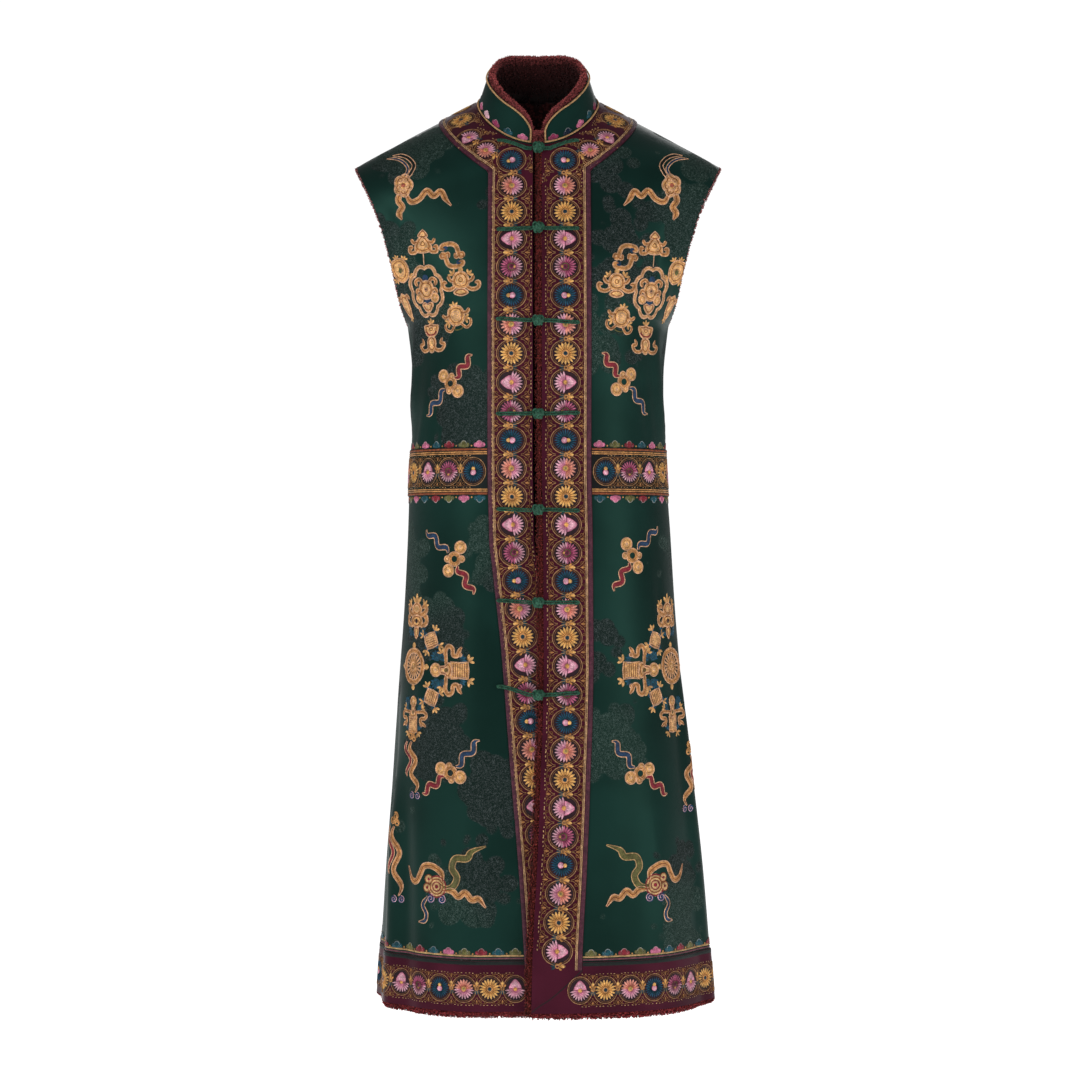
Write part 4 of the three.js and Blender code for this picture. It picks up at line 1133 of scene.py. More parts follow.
def add_pipings():
    tip = COLLAR_TIP
    angles = all_round(tip + 0.7 + np.linspace(0, 1, 40) ** 1.4 * 30, 70)
    edge = collar_point(angles, collar_top(angles) - 1.5, PIPING_OUT)
    foot, other_foot = (collar_point(end, 5.0, PIPING_OUT) for end in (angles[:1], angles[-1:]))
    path = np.concatenate([foot, edge, other_foot])
    add_piece("cord_collar", twisted(path, PIPING, 4), GOLD_CORD, ("collar_piping",))
    seam = np.linspace(tip, 360 - tip, 200)
    path = collar_point(seam, PIPING_HEIGHT, PIPING_OUT)
    add_piece("cord_neck", twisted(path, PIPING, 4), GOLD_CORD, ("neck_piping",))


FROGS = [  # height, and how far the left and right arms' outer ends are above it
    (-63, 10, 10), (-160, 0, -1), (-267, -2, 2), (-374, 1, 0), (-485, -1, 1), (-592, 0, 2),
    (-698, 2, 9),
]
FROG_REACH = 45
ARM_START = 6.9
ARM_RADIUS = 1.25  # of its cord
ARM_CLEARANCE = 0.5
KNOT_RADIUS = 7.4
KNOT_DEPTH = 6
KNOT_CORE = 0.74  # the size of the ball inside the plait
PILE_TOP = 0.9


def on_front(panel, x, z):
    """The face of a front at an x and a height."""
    field = panel.point[..., [0, 2]]
    i, j = panel.find(field, np.stack([x, z], axis=1))
    point = panel.sample(panel.point, i, j)
    return point, unit(panel.sample(panel.normal, i, j))


def add_arm(number, panel, z, rise):
    """An arm: one cord that runs out beside its other half and turns back at the end."""
    out = np.linspace(ARM_START, FROG_REACH, 24)
    share = (out - ARM_START) / (FROG_REACH - ARM_START)
    height = z + rise * ease(share)
    point, normal = on_front(panel, panel.side * out, height)
    under = OVERLAP_DEPTH * tuck(height) if panel.kind == "right" else 0
    point[:, 1] -= under * (1 - ease((out - 8) / 15))
    turning = tuck(np.array(float(z))) if panel.kind == "right" else 0
    dip = 4 * turning * (1 - turning)
    raised = point + normal * (BAND_TOP + ARM_CLEARANCE + ARM_RADIUS + dip)
    along = unit(np.gradient(raised, axis=0))
    across = unit(np.cross(along, normal))
    tips = np.linspace(-1, 1, 9)[:, None] * pi / 2
    apart = ARM_RADIUS * 1.02
    turn_back = raised[-1] + across[-1] * np.sin(tips) * apart + along[-1] * np.cos(tips) * 2.2
    path = np.concatenate([raised - across * apart, turn_back, (raised + across * apart)[::-1]])
    solid = twisted(path, ARM_RADIUS, 5, strands=2, sides=5, steps=6)
    name = f"{number}_{panel.kind}"
    add_piece(f"arm_{name}", solid, GREEN_CORD, (f"frog_{name}",))


def add_knot(number, z):
    """A ball knot: a cord plaited over itself round a small core."""
    point, normal = on_front(left_front, np.array([5.0]), np.array([float(z)]))
    seat, out = point[0], normal[0]
    seat[0] = 0
    middle = seat + out * (PILE_TOP + 0.6 + KNOT_DEPTH * 0.88)
    across = np.array([1.0, 0, 0])
    up = np.cross(out, across)
    u = np.linspace(0, 2 * pi, 150)
    latitude = radians(56) * np.sin(5 * u)
    longitude = 3 * u
    depth_share = 0.80 + 0.10 * np.sin(15 * u + 0.9)
    level = np.cos(latitude)
    ball = level * np.cos(longitude), level * np.sin(longitude), np.sin(latitude)
    reach = np.stack(ball, axis=1) * depth_share[:, None] * [KNOT_RADIUS, KNOT_DEPTH, KNOT_RADIUS]
    path = middle + reach[:, :1] * across + reach[:, 1:2] * out + reach[:, 2:] * up
    plait = tube_along(path, ARM_RADIUS, 5)
    turn = 2 * pi * np.arange(12) / 12
    spoke = np.outer(np.cos(turn), across) + np.outer(np.sin(turn), up)
    core = []
    for q in np.linspace(-1.35, 1.35, 7):
        rim = spoke * KNOT_RADIUS * KNOT_CORE * np.cos(q)
        core.append(middle + rim + out * KNOT_DEPTH * KNOT_CORE * np.sin(q))
    solid = merge([plait, tube(np.array(core))])
    add_piece(f"button_{number}", solid, GREEN_CORD, (f"knot_{number}",))


add_pipings()
for number, (z, rise_left, rise_right) in enumerate(FROGS, start=1):
    add_arm(number, left_front, z, rise_left)
    add_arm(number, right_front, z, rise_right)
    add_knot(number, z)


# ---------------------------------------------------------------- stitches
ON_CLOTH = 0.05  # how far the stitches lie above the cloth
PINK = (0.62, 0.16, 0.28)
PALE_PINK = (0.86, 0.50, 0.58)
PALE_SALMON = (0.80, 0.36, 0.28)
MAGENTA = (0.30, 0.035, 0.10)
SALMON = (0.66, 0.17, 0.11)
YELLOW = (0.88, 0.52, 0.17)
PALE_GOLD = (0.62, 0.38, 0.17)
ORANGE = (0.68, 0.28, 0.06)
BLUE = (0.010, 0.085, 0.17)
TEAL = (0.006, 0.075, 0.10)
NAVY = (0.004, 0.012, 0.03)
PURPLE = (0.020, 0.0025, 0.008)
OLIVE = (0.13, 0.12, 0.035)
RED = (0.24, 0.015, 0.028)
RUST = (0.26, 0.065, 0.02)
DARK_GOLD = (0.24, 0.10, 0.032)
GOLD_THREAD = (0.62, 0.29, 0.095)
LIGHT_GOLD = (0.88, 0.50, 0.19)


def span(start, end, count):
    return np.linspace(start, end, count)


def arc(centre, radius, start, end, count=13, squash=1.0):
    """Points on an oval's arc. Angles are in degrees, from the first axis."""
    turn = np.radians(span(start, end, count))
    return np.array(centre) + np.stack([np.cos(turn) * radius, np.sin(turn) * radius * squash], 1)


def spiral(centre, radius, start, turns, count=18, inner=0.2):
    """A curl that winds in to its centre."""
    turn = np.radians(start) + 2 * pi * turns * span(0, 1, count)
    reach = radius * span(1, inner, count)
    return np.array(centre) + np.stack([np.cos(turn) * reach, np.sin(turn) * reach], 1)


def curve(*knots, count=6):
    """A smooth path through points."""
    knots = np.array(knots, float)
    padded = np.concatenate([[2 * knots[0] - knots[1]], knots, [2 * knots[-1] - knots[-2]]])
    q = span(0, 1, count + 1)[:-1, None]
    parts = []
    for a, b, c, d in zip(padded, padded[1:], padded[2:], padded[3:]):
        bend = (2 * a - 5 * b + 4 * c - d) * q**2 + (3 * b - a - 3 * c + d) * q**3
        parts.append(0.5 * (2 * b + (c - a) * q + bend))
    return np.concatenate([*parts, knots[-1:]])


def wave(start, end, waves, height, count):
    """A ribbon's path that sways from side to side along its way."""
    start, end = np.array(start, float), np.array(end, float)
    way = end - start
    aside = np.array([-way[1], way[0]]) / np.hypot(*way)
    q = span(0, 1, count)[:, None]
    return start + way * q + aside * np.sin(2 * pi * waves * q) * height


def tapered(width, count, start=0.15, end=0.15):
    """Widths of a ribbon that is full in the middle and narrow at its ends."""
    q = span(0, 1, count)
    return width * np.minimum(1, np.minimum(start + q * 5, end + (1 - q) * 5))


class Stitches:
    """Embroidery on flat cloth, in ribbons of satin stitch that crown in the middle."""

    def __init__(self):
        self.spots, self.heights, self.shades, self.threads, self.faces = [], [], [], [], []
        self.count = 0

    def keep(self, spots, height, shade, thread, faces):
        self.spots.append(spots.reshape(-1, 2))
        self.heights.append(height.ravel())
        self.shades.append(shade.reshape(-1, 3))
        self.threads.append(thread.reshape(-1, 2))
        self.faces.append(faces + self.count)
        self.count += len(self.spots[-1])
        return self

    def ribbon(
        self, path, width, shade, rise=0.55, tip=None, along=False, closed=False, low=0.12
    ):
        """A raised line. Its threads run across it, or along it. tip is its colour at the end."""
        path = np.asarray(path, float)
        count = len(path)
        half = np.broadcast_to(np.asarray(width, float), count) / 2
        heading = np.roll(path, -1, 0) - np.roll(path, 1, 0) if closed else np.gradient(path, axis=0)
        heading = unit(heading)
        aside = quarter_turn(heading) * half[:, None]
        spots = np.stack([path - aside, path, path + aside], axis=1)
        height = np.broadcast_to([low, rise, low], (count, 3))
        q = span(0, 1, count)[:, None]
        colour = lerp(np.array(shade), np.array(tip if tip is not None else shade), q)
        # Painted shade along both low edges of the crowned ribbon.
        edge = 0.82
        colours = np.stack([colour * edge, colour, colour * edge], axis=1)
        length = distance_along(path)
        across = np.stack([-half, half * 0, half], axis=1)
        lengthwise = np.broadcast_to(length[:, None], (count, 3))
        order = (across, lengthwise) if along else (lengthwise, across)
        index = np.arange(count * 3).reshape(count, 3)
        if closed:
            index = np.append(index, index[:1], axis=0)
        return self.keep(spots, height, colours, np.stack(order, axis=-1), quads(index))

    def fill(self, outline, shade, rise=0.35, low=0.1, middle=None):
        """A filled shape, a little crowned. Its threads lie side by side across it."""
        outline = np.asarray(outline, float)
        centre = outline.mean(axis=0)
        levels = np.array([1, 0.7, 0.0])[:, None, None]
        spots = centre + (outline - centre) * levels
        height = np.broadcast_to(np.array([low, rise, rise])[:, None], spots.shape[:2])
        inner = middle if middle is not None else shade
        ends = np.array([shade, lerp(np.array(shade), np.array(inner), 0.5), inner])
        colours = np.broadcast_to(ends[:, None], (*spots.shape[:2], 3))
        index = np.arange(spots.shape[0] * spots.shape[1]).reshape(spots.shape[:2])
        index = np.append(index, index[:, :1], axis=1)
        return self.keep(spots, height, colours, spots.copy(), quads(index))

    def ring(self, centre, across, up, width, shade, count=30, rise=0.5):
        path = arc(centre, across, 0, 360, count + 1, up / across)[:-1]
        return self.ribbon(path, width, shade, rise, closed=True, along=True)

    def dot(self, centre, radius, shade, count=8, rise=0.6, middle=None):
        return self.fill(arc(centre, radius, 0, 360, count + 1)[:-1], shade, rise, 0.12, middle)

    def petal(self, angle, near, far, width, shade, tip=None, centre=(0, 0), rise=0.6):
        """A petal that points outward at an angle, widest past its middle."""
        way = np.array([np.cos(radians(angle)), np.sin(radians(angle))])
        reach = span(near, far, 6)[:, None]
        form = np.array([0.3, 0.65, 0.92, 1.0, 0.78, 0.16])
        return self.ribbon(np.array(centre) + way * reach, width * form, shade, rise, tip, along=True)

    def together(self, other, place=(0, 0), turn=0.0, size=1.0):
        """Adds another pattern, moved, turned and sized."""
        spots, heights, shades, threads, faces = other.arrays()
        c, s = np.cos(radians(turn)), np.sin(radians(turn))
        spots = spots @ np.array([[c, s], [-s, c]]) * size + np.array(place, float)
        return self.keep(spots, heights, shades, threads, faces)

    def arrays(self):
        return (
            np.concatenate(self.spots), np.concatenate(self.heights),
            np.concatenate(self.shades), np.concatenate(self.threads), np.concatenate(self.faces),
        )


class Work:
    """The embroidery of one piece, laid on the cloth."""

    def __init__(self, name):
        self.name = name
        self.parts = []

    def keep(self, points, normal, faces, shades, threads):
        """Keeps a patch, its faces turned outward."""
        corner = points[faces]
        facing = np.cross(corner[:, 2] - corner[:, 0], corner[:, 3] - corner[:, 1])
        if (facing * normal[faces[:, 0]]).sum() < 0:
            faces = faces[:, ::-1]
        self.parts.append(((points, faces), shades, threads))

    def lay(self, panel, i, j, stitches, base):
        _, heights, shades, threads, faces = stitches.arrays()
        normal = unit(panel.sample(panel.normal, i, j))
        points = panel.sample(panel.point, i, j) + normal * (base + heights)[:, None]
        self.keep(points, normal, faces, shades, threads)

    def on_body(self, panel, stitches, centre, base=ON_CLOTH):
        """Lays a pattern round a place given by its distance round from the centre line and
        its height. Its first axis points to the garment's side."""
        wanted = stitches.arrays()[0] + np.array(centre, float)
        self.lay(panel, *panel.find(panel.body, wanted), stitches, base)

    def on_plane(self, panel, stitches, at, first, base):
        """Lays a pattern flat round a grid place, with its first axis along a direction and
        its second away from the centre line."""
        i, j = np.array([at[0]], float), np.array([at[1]], float)
        point = panel.sample(panel.point, i, j)[0]
        normal = unit(panel.sample(panel.normal, i, j))[0]
        first = unit(first - normal * (first @ normal))
        up = panel.sample(panel.point, i, j + 2)[0] - point
        second = unit(up - normal * (up @ normal) - first * (up @ first))
        around = panel.point - point
        field = np.stack([around @ first, around @ second], axis=-1)
        found = panel.find(field, stitches.arrays()[0], (at[0], at[1]))
        self.lay(panel, *found, stitches, base)

    def line(self, panel, path, width, shade, base, rise=0.5):
        """A couched line along grid places."""
        i, j = path
        point = panel.sample(panel.point, i, j)
        normal = unit(panel.sample(panel.normal, i, j))
        way = unit(np.gradient(point, axis=0))
        aside = unit(np.cross(normal, way)) * width / 2
        low = normal * (base + 0.1)
        rows = np.stack([point - aside + low, point + normal * (base + rise), point + aside + low], 1)
        length = distance_along(point)
        threads = np.stack([np.repeat(length, 3), np.tile([-width, 0, width], len(length))], axis=1)
        faces = quads(np.arange(len(point) * 3).reshape(-1, 3))
        shades = np.tile(np.array(shade), (len(point) * 3, 1))
        self.keep(rows.reshape(-1, 3), np.repeat(normal, 3, axis=0), faces, shades, threads)

    def make(self):
        solids, shades, threads = zip(*self.parts)
        points, faces = merge(solids)
        piece = build_mesh(
            self.name, points, faces, THREAD, np.concatenate(shades), np.concatenate(threads)
        )


# ---------------------------------------------------------------- roundels
PITCH = 33.4
RING = (15.6, 17.2)  # half its size along the band and across it
RING_GOLD = (0.40, 0.21, 0.09)


def fan(flower, first, last, count, near, far, width, shade, tip):
    for angle in span(first, last, count):
        flower.petal(angle, near, far, width, shade, tip)


def heart(flower, radius, shade, middle):
    flower.dot((0, 0), radius, GOLD_THREAD, 10)
    flower.dot((0, 0), radius * 0.78, shade, 8, 0.75, middle)


def blue_flower():
    flower = Stitches()
    fan(flower, 0, 345, 24, 4.2, 12.8, 1.7, TEAL, BLUE)
    fan(flower, 7.5, 352.5, 24, 4.2, 9.5, 1.2, NAVY, NAVY)
    flower.dot((0, 3.6), 2.6, ORANGE, 8, 0.75, YELLOW)
    return flower.dot((0, -1.4), 3.7, PINK, 10, 0.8, PALE_PINK)


def split_flower():
    flower = Stitches()
    fan(flower, 8, 172, 9, 3.4, 12.4, 2.7, SALMON, PALE_SALMON)
    fan(flower, 188, 352, 10, 3.4, 12.9, 2.4, PINK, PALE_PINK)
    heart(flower, 3.6, YELLOW, OLIVE)
    return flower


def yellow_flower():
    flower = Stitches()
    fan(flower, 0, 340, 18, 4.2, 13, 2.7, ORANGE, YELLOW)
    heart(flower, 4.2, TEAL, NAVY)
    return flower


def lotus_flower():
    flower = Stitches()
    fan(flower, 190, 350, 10, 2.8, 13, 2.4, PINK, PALE_PINK)
    dome = curve((-8.4, 0.5), (-6.4, 6), (0, 12.4), (6.4, 6), (8.4, 0.5), count=4)
    flower.fill(dome, PINK, 0.45, 0.12, PALE_PINK)
    fan(flower, 55, 125, 3, 1, 9, 2.6, MAGENTA, PALE_PINK)
    heart(flower, 3, YELLOW, ORANGE)
    return flower


def magenta_flower():
    flower = Stitches()
    fan(flower, 5, 175, 11, 4.4, 12.8, 2.2, MAGENTA, PINK)
    fan(flower, 185, 355, 11, 4.4, 12.8, 2.2, MAGENTA, PALE_PINK)
    flower.ring((0, 0), 4, 4, 1.2, OLIVE, 12)
    flower.dot((0, 0), 3.3, MAGENTA, 10, 0.7, PURPLE)
    flower.dot((0, -3.4), 1.7, GOLD_THREAD)
    return flower


def gap_ornament():
    """A flame bud, a bead and dark leaves, which stand between two roundels."""
    bud = Stitches()
    bud.petal(90, 3, 9.8, 3.6, ORANGE, YELLOW)
    bud.petal(128, 3, 7, 2.4, GOLD_THREAD, ORANGE)
    bud.petal(52, 3, 7, 2.4, GOLD_THREAD, ORANGE)
    bud.ring((0, 0.6), 2.1, 2.1, 1.2, GOLD_THREAD, 9)
    for angle in (238, 270, 302):
        bud.petal(angle, 2.2, 7.4, 2.6, TEAL, NAVY)
    return bud


def scrolls():
    """Two curls and their tendrils, in fine gold, on the outer side of a gap."""
    pattern = Stitches()
    for side in (-1, 1):
        curl = spiral((side * 4.3, 17.2), 3.3, 90 + side * 90, -side * 1.15, 13)
        pattern.ribbon(curl, 0.85, DARK_GOLD)
        reach = curve((0.6, 11), (1.6, 14.6), (7.4, 20.2), (14.6, 20.6), count=5) * [side, 1]
        pattern.ribbon(reach, 0.8, RING_GOLD, tip=DARK_GOLD)
        pattern.ribbon(spiral((side * 12.6, 19), 1.9, 90, side * 1.0, 9), 0.8, DARK_GOLD)
        for x, y in ((5.4, 22.4), (10.2, 22.9), (15, 22.8)):
            pattern.ribbon([(side * (x - 1), y), (side * (x + 1), y - 0.3)], 1.0, PALE_GOLD)
        pattern.dot((side * 2.4, 20.6), 0.9, DARK_GOLD, 5)
    pattern.petal(90, 15.5, 21.8, 2.2, GOLD_THREAD, DARK_GOLD)
    return pattern


FLOWERS = [blue_flower(), split_flower(), yellow_flower(), lotus_flower(), magenta_flower()]
BUD = gap_ornament()
SCROLLS = scrolls()


def roundel(number, ground=PURPLE, size=1.0, scroll_size=1.0, gap=True, pitch=PITCH):
    """A flower in a double ring, and what stands after it along the band."""
    cell = Stitches()
    cell.fill(arc((0, 0), RING[0] - 1, 0, 345, 24, RING[1] / RING[0]), ground, 0.06, 0.03)
    cell.ring((0, 0), *RING, 1.1, RING_GOLD, 28)
    cell.ring((0, 0), RING[0] - 1.9, RING[1] - 1.9, 0.7, DARK_GOLD, 24)
    cell.together(FLOWERS[number % len(FLOWERS)])
    if gap:
        middle = (pitch / size / 2, 0)
        cell.together(BUD, middle)
        for turn in (0, 180):
            cell.together(SCROLLS, middle, turn, scroll_size)
    return Stitches().together(cell, size=size)


LINE_POINTS = 700
UPRIGHT = 500  # of them, those that surely lie below the neck
STITCH_STEP = 3.0  # between a couched line's points


def band_line(panel, share, first=0.0):
    """A line along the band on a panel's front edge and neck, at a share of the band's
    width: grid rows and columns, points, and the distance along it."""
    t = span(first, 2, LINE_POINTS)
    s = band_share(panel, t, share)
    if panel.kind == "back":
        first_on = max(int(np.argmax(s > 0)) - 1, 0)
        t, s = t[first_on:], s[first_on:]
    low, high = panel.ROWS
    i = np.where(t <= 1, t * low, low + (t - 1) * high)
    point, _ = panel.place(s, t)
    return i, s * panel.COLUMNS, point, distance_along(point)


def at_length(line, at):
    """The grid place on a line at a distance along it, and the way back down from there."""
    i, j, point, length = line
    here = [np.interp(at, length, column) for column in (i, j)]
    ahead, behind = (
        np.array([np.interp(at + step, length, point[:, k]) for k in range(3)]) for step in (4, -4)
    )
    return here, behind - ahead


def even_path(line, first, last):
    """The grid places on a line between two distances, in even steps."""
    i, j, _, length = line
    at = span(first, last, int((last - first) / STITCH_STEP))
    return np.interp(at, length, i), np.interp(at, length, j)


ROUNDEL_LINE = 0.43  # of the band's width from its inner edge
BLUE_Z = -404.8  # where the blue flower beside the waist band stands
TOP_Z = -60
NECK_BEND_X = 42  # where the band bends round the neck
LAST_UPRIGHT = (31, -80)  # x and z of the last roundel below the bend
FRONT_ROUNDELS = range(-12, 22)  # counted down from the blue one
SKIRT_PITCH = 0.975  # below the waist the roundels stand a little closer
LOWEST_Z = {"left": -1000, "right": -1035}
NECK_ROUNDELS = [(61, -64), (81.5, -47), (91, -21)]  # x and z, from the front to the shoulder
NECK_KINDS = (1, 3, 2)
NECK_SIZES = (0.9, 0.93, 1.02)
BACK_NECK_SIZE = 0.82
EDGE_BRAID = (0.085, 0.018, 0.035)
LINE_GOLD = (0.64, 0.40, 0.21)
MITRE_SHADE = (0.008, 0.001, 0.003)


def add_neck_roundels(work, panel):
    """The roundels of a front that stand round its neck."""
    before = LAST_UPRIGHT
    for kind, size, place in zip(NECK_KINDS, NECK_SIZES, NECK_ROUNDELS):
        wanted = np.array([[panel.side * place[0], place[1]]], float)
        i, j = panel.find(panel.point[..., [0, 2]], wanted)
        way = np.array([panel.side * (before[0] - place[0]), 0, before[1] - place[1]], float)
        cell = roundel(kind, size=size, scroll_size=0.95, pitch=26)
        work.on_plane(panel, cell, (i[0], j[0]), way, BAND_TOP)
        before = place


def embroider_front_band(panel):
    work = Work(f"stitches_band_{panel.kind}")
    line = band_line(panel, ROUNDEL_LINE)
    heights = line[2][:, 2]
    start = np.interp(BLUE_Z, heights[:UPRIGHT], line[3][:UPRIGHT])
    for number in FRONT_ROUNDELS:
        at = start - number * PITCH * (SKIRT_PITCH if number > 0 else 1)
        here, down = at_length(line, at)
        z = np.interp(at, line[3], heights)
        x = abs(np.interp(at, line[3], line[2][:, 0]))
        if at > 0 and LOWEST_Z[panel.kind] < z < TOP_Z and x < NECK_BEND_X:
            last = z < LOWEST_Z[panel.kind] + PITCH
            cell = roundel(number, gap=not last)
            if last:
                cell.together(BUD, (PITCH / 2, 0))
            work.on_plane(panel, cell, here, down, BAND_TOP)
    add_neck_roundels(work, panel)
    add_band_edge(work, panel, 0.0)
    add_mitre(work, panel)
    work.make()


MITRE_Z = -1011  # where the band's edge lines meet the hem band


def add_band_edge(work, panel, first):
    """The braid on the band's outer edge, and the gold cords beside it."""
    for share, width, shade, rise in (
        (0.945, 4.6, EDGE_BRAID, 0.8), (0.872, 1.0, LINE_GOLD, 0.6), (0.84, 1.0, LINE_GOLD, 0.6)
    ):
        line = band_line(panel, share, first)
        start = 0 if panel.kind == "back" else np.interp(MITRE_Z, line[2][:300, 2], line[3][:300])
        work.line(panel, even_path(line, start, line[3][-1]), width, shade, BAND_TOP, rise)


def add_mitre(work, panel):
    """The slanted seam in which the front band meets the hem band."""
    q = span(0, 1, 24)
    t = row_at(lerp(MITRE_Z, HEM_Z + 2, q))
    j = band_share(panel, t) * panel.COLUMNS * lerp(1, 0.02, q)
    work.line(panel, (t * panel.ROWS[0], j), 1.3, MITRE_SHADE, BAND_TOP, 0.12)


def embroider_back_neck():
    work = Work("stitches_band_neck_back")
    for panel in (back_left, back_right):
        line = band_line(panel, ROUNDEL_LINE, BACK_BAND_START)
        full = line[3][-1]
        for number, at in enumerate(np.arange(13.5, full - 9, 27)):
            here, down = at_length(line, at)
            cell = roundel(number + 3, size=BACK_NECK_SIZE, scroll_size=0.9, pitch=27)
            work.on_plane(panel, cell, here, down, BAND_TOP)
        add_band_edge(work, panel, BACK_BAND_START)
    work.make()


# ---------------------------------------------------------------- waist and hem
def cloud_head(shade):
    """A small three-lobed cloud."""
    cloud = Stitches()
    pale = tuple(lerp(c, 0.8, 0.35) for c in shade)
    cloud.fill(arc((0, 2.4), 4.3, 0, 324, 10, 1.1), shade, 0.5, 0.1, shade)
    for side in (-1, 1):
        cloud.dot((side * 4.4, 1.8), 2.7, shade, 8, 0.45)
        cloud.ribbon(spiral((side * 4.3, 1.9), 1.9, 90, side * 1.1, 8), 0.8, pale)
    cloud.ribbon(arc((0, 2.2), 3.6, 15, 165, 9, 1.25), 1.0, pale)
    return cloud


CLOUD_STEP = 19.5
WAIST_CLOUDS = [PINK, OLIVE, RED, TEAL]
HEM_CLOUDS = [OLIVE, TEAL, RED, OLIVE, PINK, TEAL, RED]


def outer_edge(panel, z):
    """The distance from the centre line to where the front band ends."""
    t = np.array([row_at(z)])
    share = band_share(panel, t)[0] if panel.kind != "back" else 0.0
    row = int(round(t[0] * panel.ROWS[0]))
    return np.interp(share * panel.COLUMNS, np.arange(panel.COLUMNS + 1), panel.body[row, :, 0])


def full_width(panel, z):
    return panel.body[int(round(row_at(z) * panel.ROWS[0])), -1, 0]


def add_level_line(work, panel, z, width, shade, base, rise=0.5):
    """A line that runs round the body at a height."""
    near, far = outer_edge(panel, z) + 0.5, full_width(panel, z) - 0.4
    row = row_at(z) * panel.ROWS[0]
    index = int(round(row))
    at = span(near, far, int((far - near) / STITCH_STEP))
    j = np.interp(at, panel.body[index, :, 0], np.arange(panel.COLUMNS + 1))
    work.line(panel, (np.full(len(j), row), j), width, shade, base, rise)


def add_clouds(work, panel, z, shades, turn, first=0):
    near, far = outer_edge(panel, z) + 10, full_width(panel, z) - 5
    for number, at in enumerate(np.arange(near, far, CLOUD_STEP)):
        shade = shades[(number + first) % len(shades)]
        cloud = Stitches().together(cloud_head(shade), turn=turn)
        cloud.dot((CLOUD_STEP / 2, 0.8 if turn == 0 else -0.8), 1.1, GOLD_THREAD, 6)
        work.on_body(panel, cloud, (at, z))


def add_roundels(work, panel, z, margin, order, size, scroll_size, ground=PURPLE):
    """Roundels round the body in even steps, the last one half a step from the side seam.
    On the back the first one is half a step from the centre too."""
    if panel.name == "back_right":
        order = order[::-1]
    start = 0.5 if panel.kind == "back" else 0.0
    near = 0 if panel.kind == "back" else outer_edge(panel, z) + margin
    room = full_width(panel, z) - near
    count = int(room / (PITCH * size) + 1 - start)
    step = room / (count - 0.5 + start)
    for number in range(count):
        cell = roundel(order[number % len(order)], ground, size, scroll_size, pitch=step)
        work.on_body(panel, cell, (near + (number + start) * step, z), BAND_TOP)


WAIST_ORDER = (0, 4, 3, 2, 1)
HEM_ORDER = (3, 2, 1, 0, 4)
HEM_ROSE = (0.17, 0.05, 0.07)
HEM_MARGIN = {"left": -2, "right": 12, "back": 0}
WAIST_GROUND = (0.012, 0.006, 0.010)


WAIST_LINES = [  # height, width and shade
    (-415, 2.2, RUST), (-418, 1.3, GOLD_THREAD), (-420.2, 1.3, GOLD_THREAD),
    (-461.2, 1.3, GOLD_THREAD), (-463.4, 1.3, GOLD_THREAD), (-466.2, 2.4, RUST),
]
WAIST_CLOUD_Z = {"above": -411.5, "below": -469.5}
HEM_LINES = [  # height, width, shade, base and rise
    (-996.5, 1.9, PALE_GOLD, ON_CLOTH, 0.9), (-999.6, 1.8, HEM_ROSE, ON_CLOTH, 0.5),
    (-1004.6, 4.2, GREEN_DARK, BAND_TOP, 0.3),
]
HEM_CLOUD_Z = -995
ROUNDEL_Z = {"waist": -440.6, "hem": -1034}
WAIST_MARGIN = 17  # from the front band's edge to the first roundel's centre


def embroider_waist(panel):
    work = Work(f"stitches_waist_{panel.name}")
    for z, width, shade in WAIST_LINES:
        add_level_line(work, panel, z, width, shade, BAND_TOP)
    place = ROUNDEL_Z["waist"], WAIST_MARGIN
    add_roundels(work, panel, *place, WAIST_ORDER, 0.95, 0.85, WAIST_GROUND)
    add_clouds(work, panel, WAIST_CLOUD_Z["above"], WAIST_CLOUDS, 0)
    add_clouds(work, panel, WAIST_CLOUD_Z["below"], WAIST_CLOUDS, 180, 3)
    work.make()


def embroider_hem(panel):
    work = Work(f"stitches_hem_{panel.name}")
    for line in HEM_LINES:
        add_level_line(work, panel, *line)
    add_roundels(work, panel, ROUNDEL_Z["hem"], HEM_MARGIN[panel.kind], HEM_ORDER, 0.9, 0.9)
    add_clouds(work, panel, HEM_CLOUD_Z, HEM_CLOUDS, 0)
    work.make()


for panel in (left_front, right_front):
    embroider_front_band(panel)
embroider_back_neck()
for panel in panels:
    embroider_waist(panel)
    embroider_hem(panel)


# ---------------------------------------------------------------- gold motifs
RIBBON_BLUE = (0.012, 0.045, 0.11)
OUTLINE = (0.78, 0.44, 0.26)


def streamer(path, width, fill, outline=OUTLINE):
    """A ribbon with a raised outline."""
    pattern = Stitches()
    path = np.asarray(path, float)
    width = tapered(width, len(path), 0.3, 0.12)
    pattern.ribbon(path, width, fill, 0.35)
    aside = quarter_turn(unit(np.gradient(path, axis=0))) * width[:, None] / 2
    for side in (-1, 1):
        pattern.ribbon(path + aside * side, 1.15, outline, 0.6)
    return pattern


def gold_ribbon(path, width):
    """A solid gold ribbon with a darker fold along it."""
    pattern = streamer(path, width, GOLD_THREAD)
    return pattern.ribbon(path, 1.0, RUST, 0.62, low=0.35)


def curl(pattern, centre, radius, start, turns, width=2.2):
    path = spiral(centre, radius, start, turns, 20, 0.25)
    pattern.ribbon(path, width, GOLD_THREAD, 0.7)
    return pattern.ribbon(path, width * 0.3, LIGHT_GOLD, 0.85)


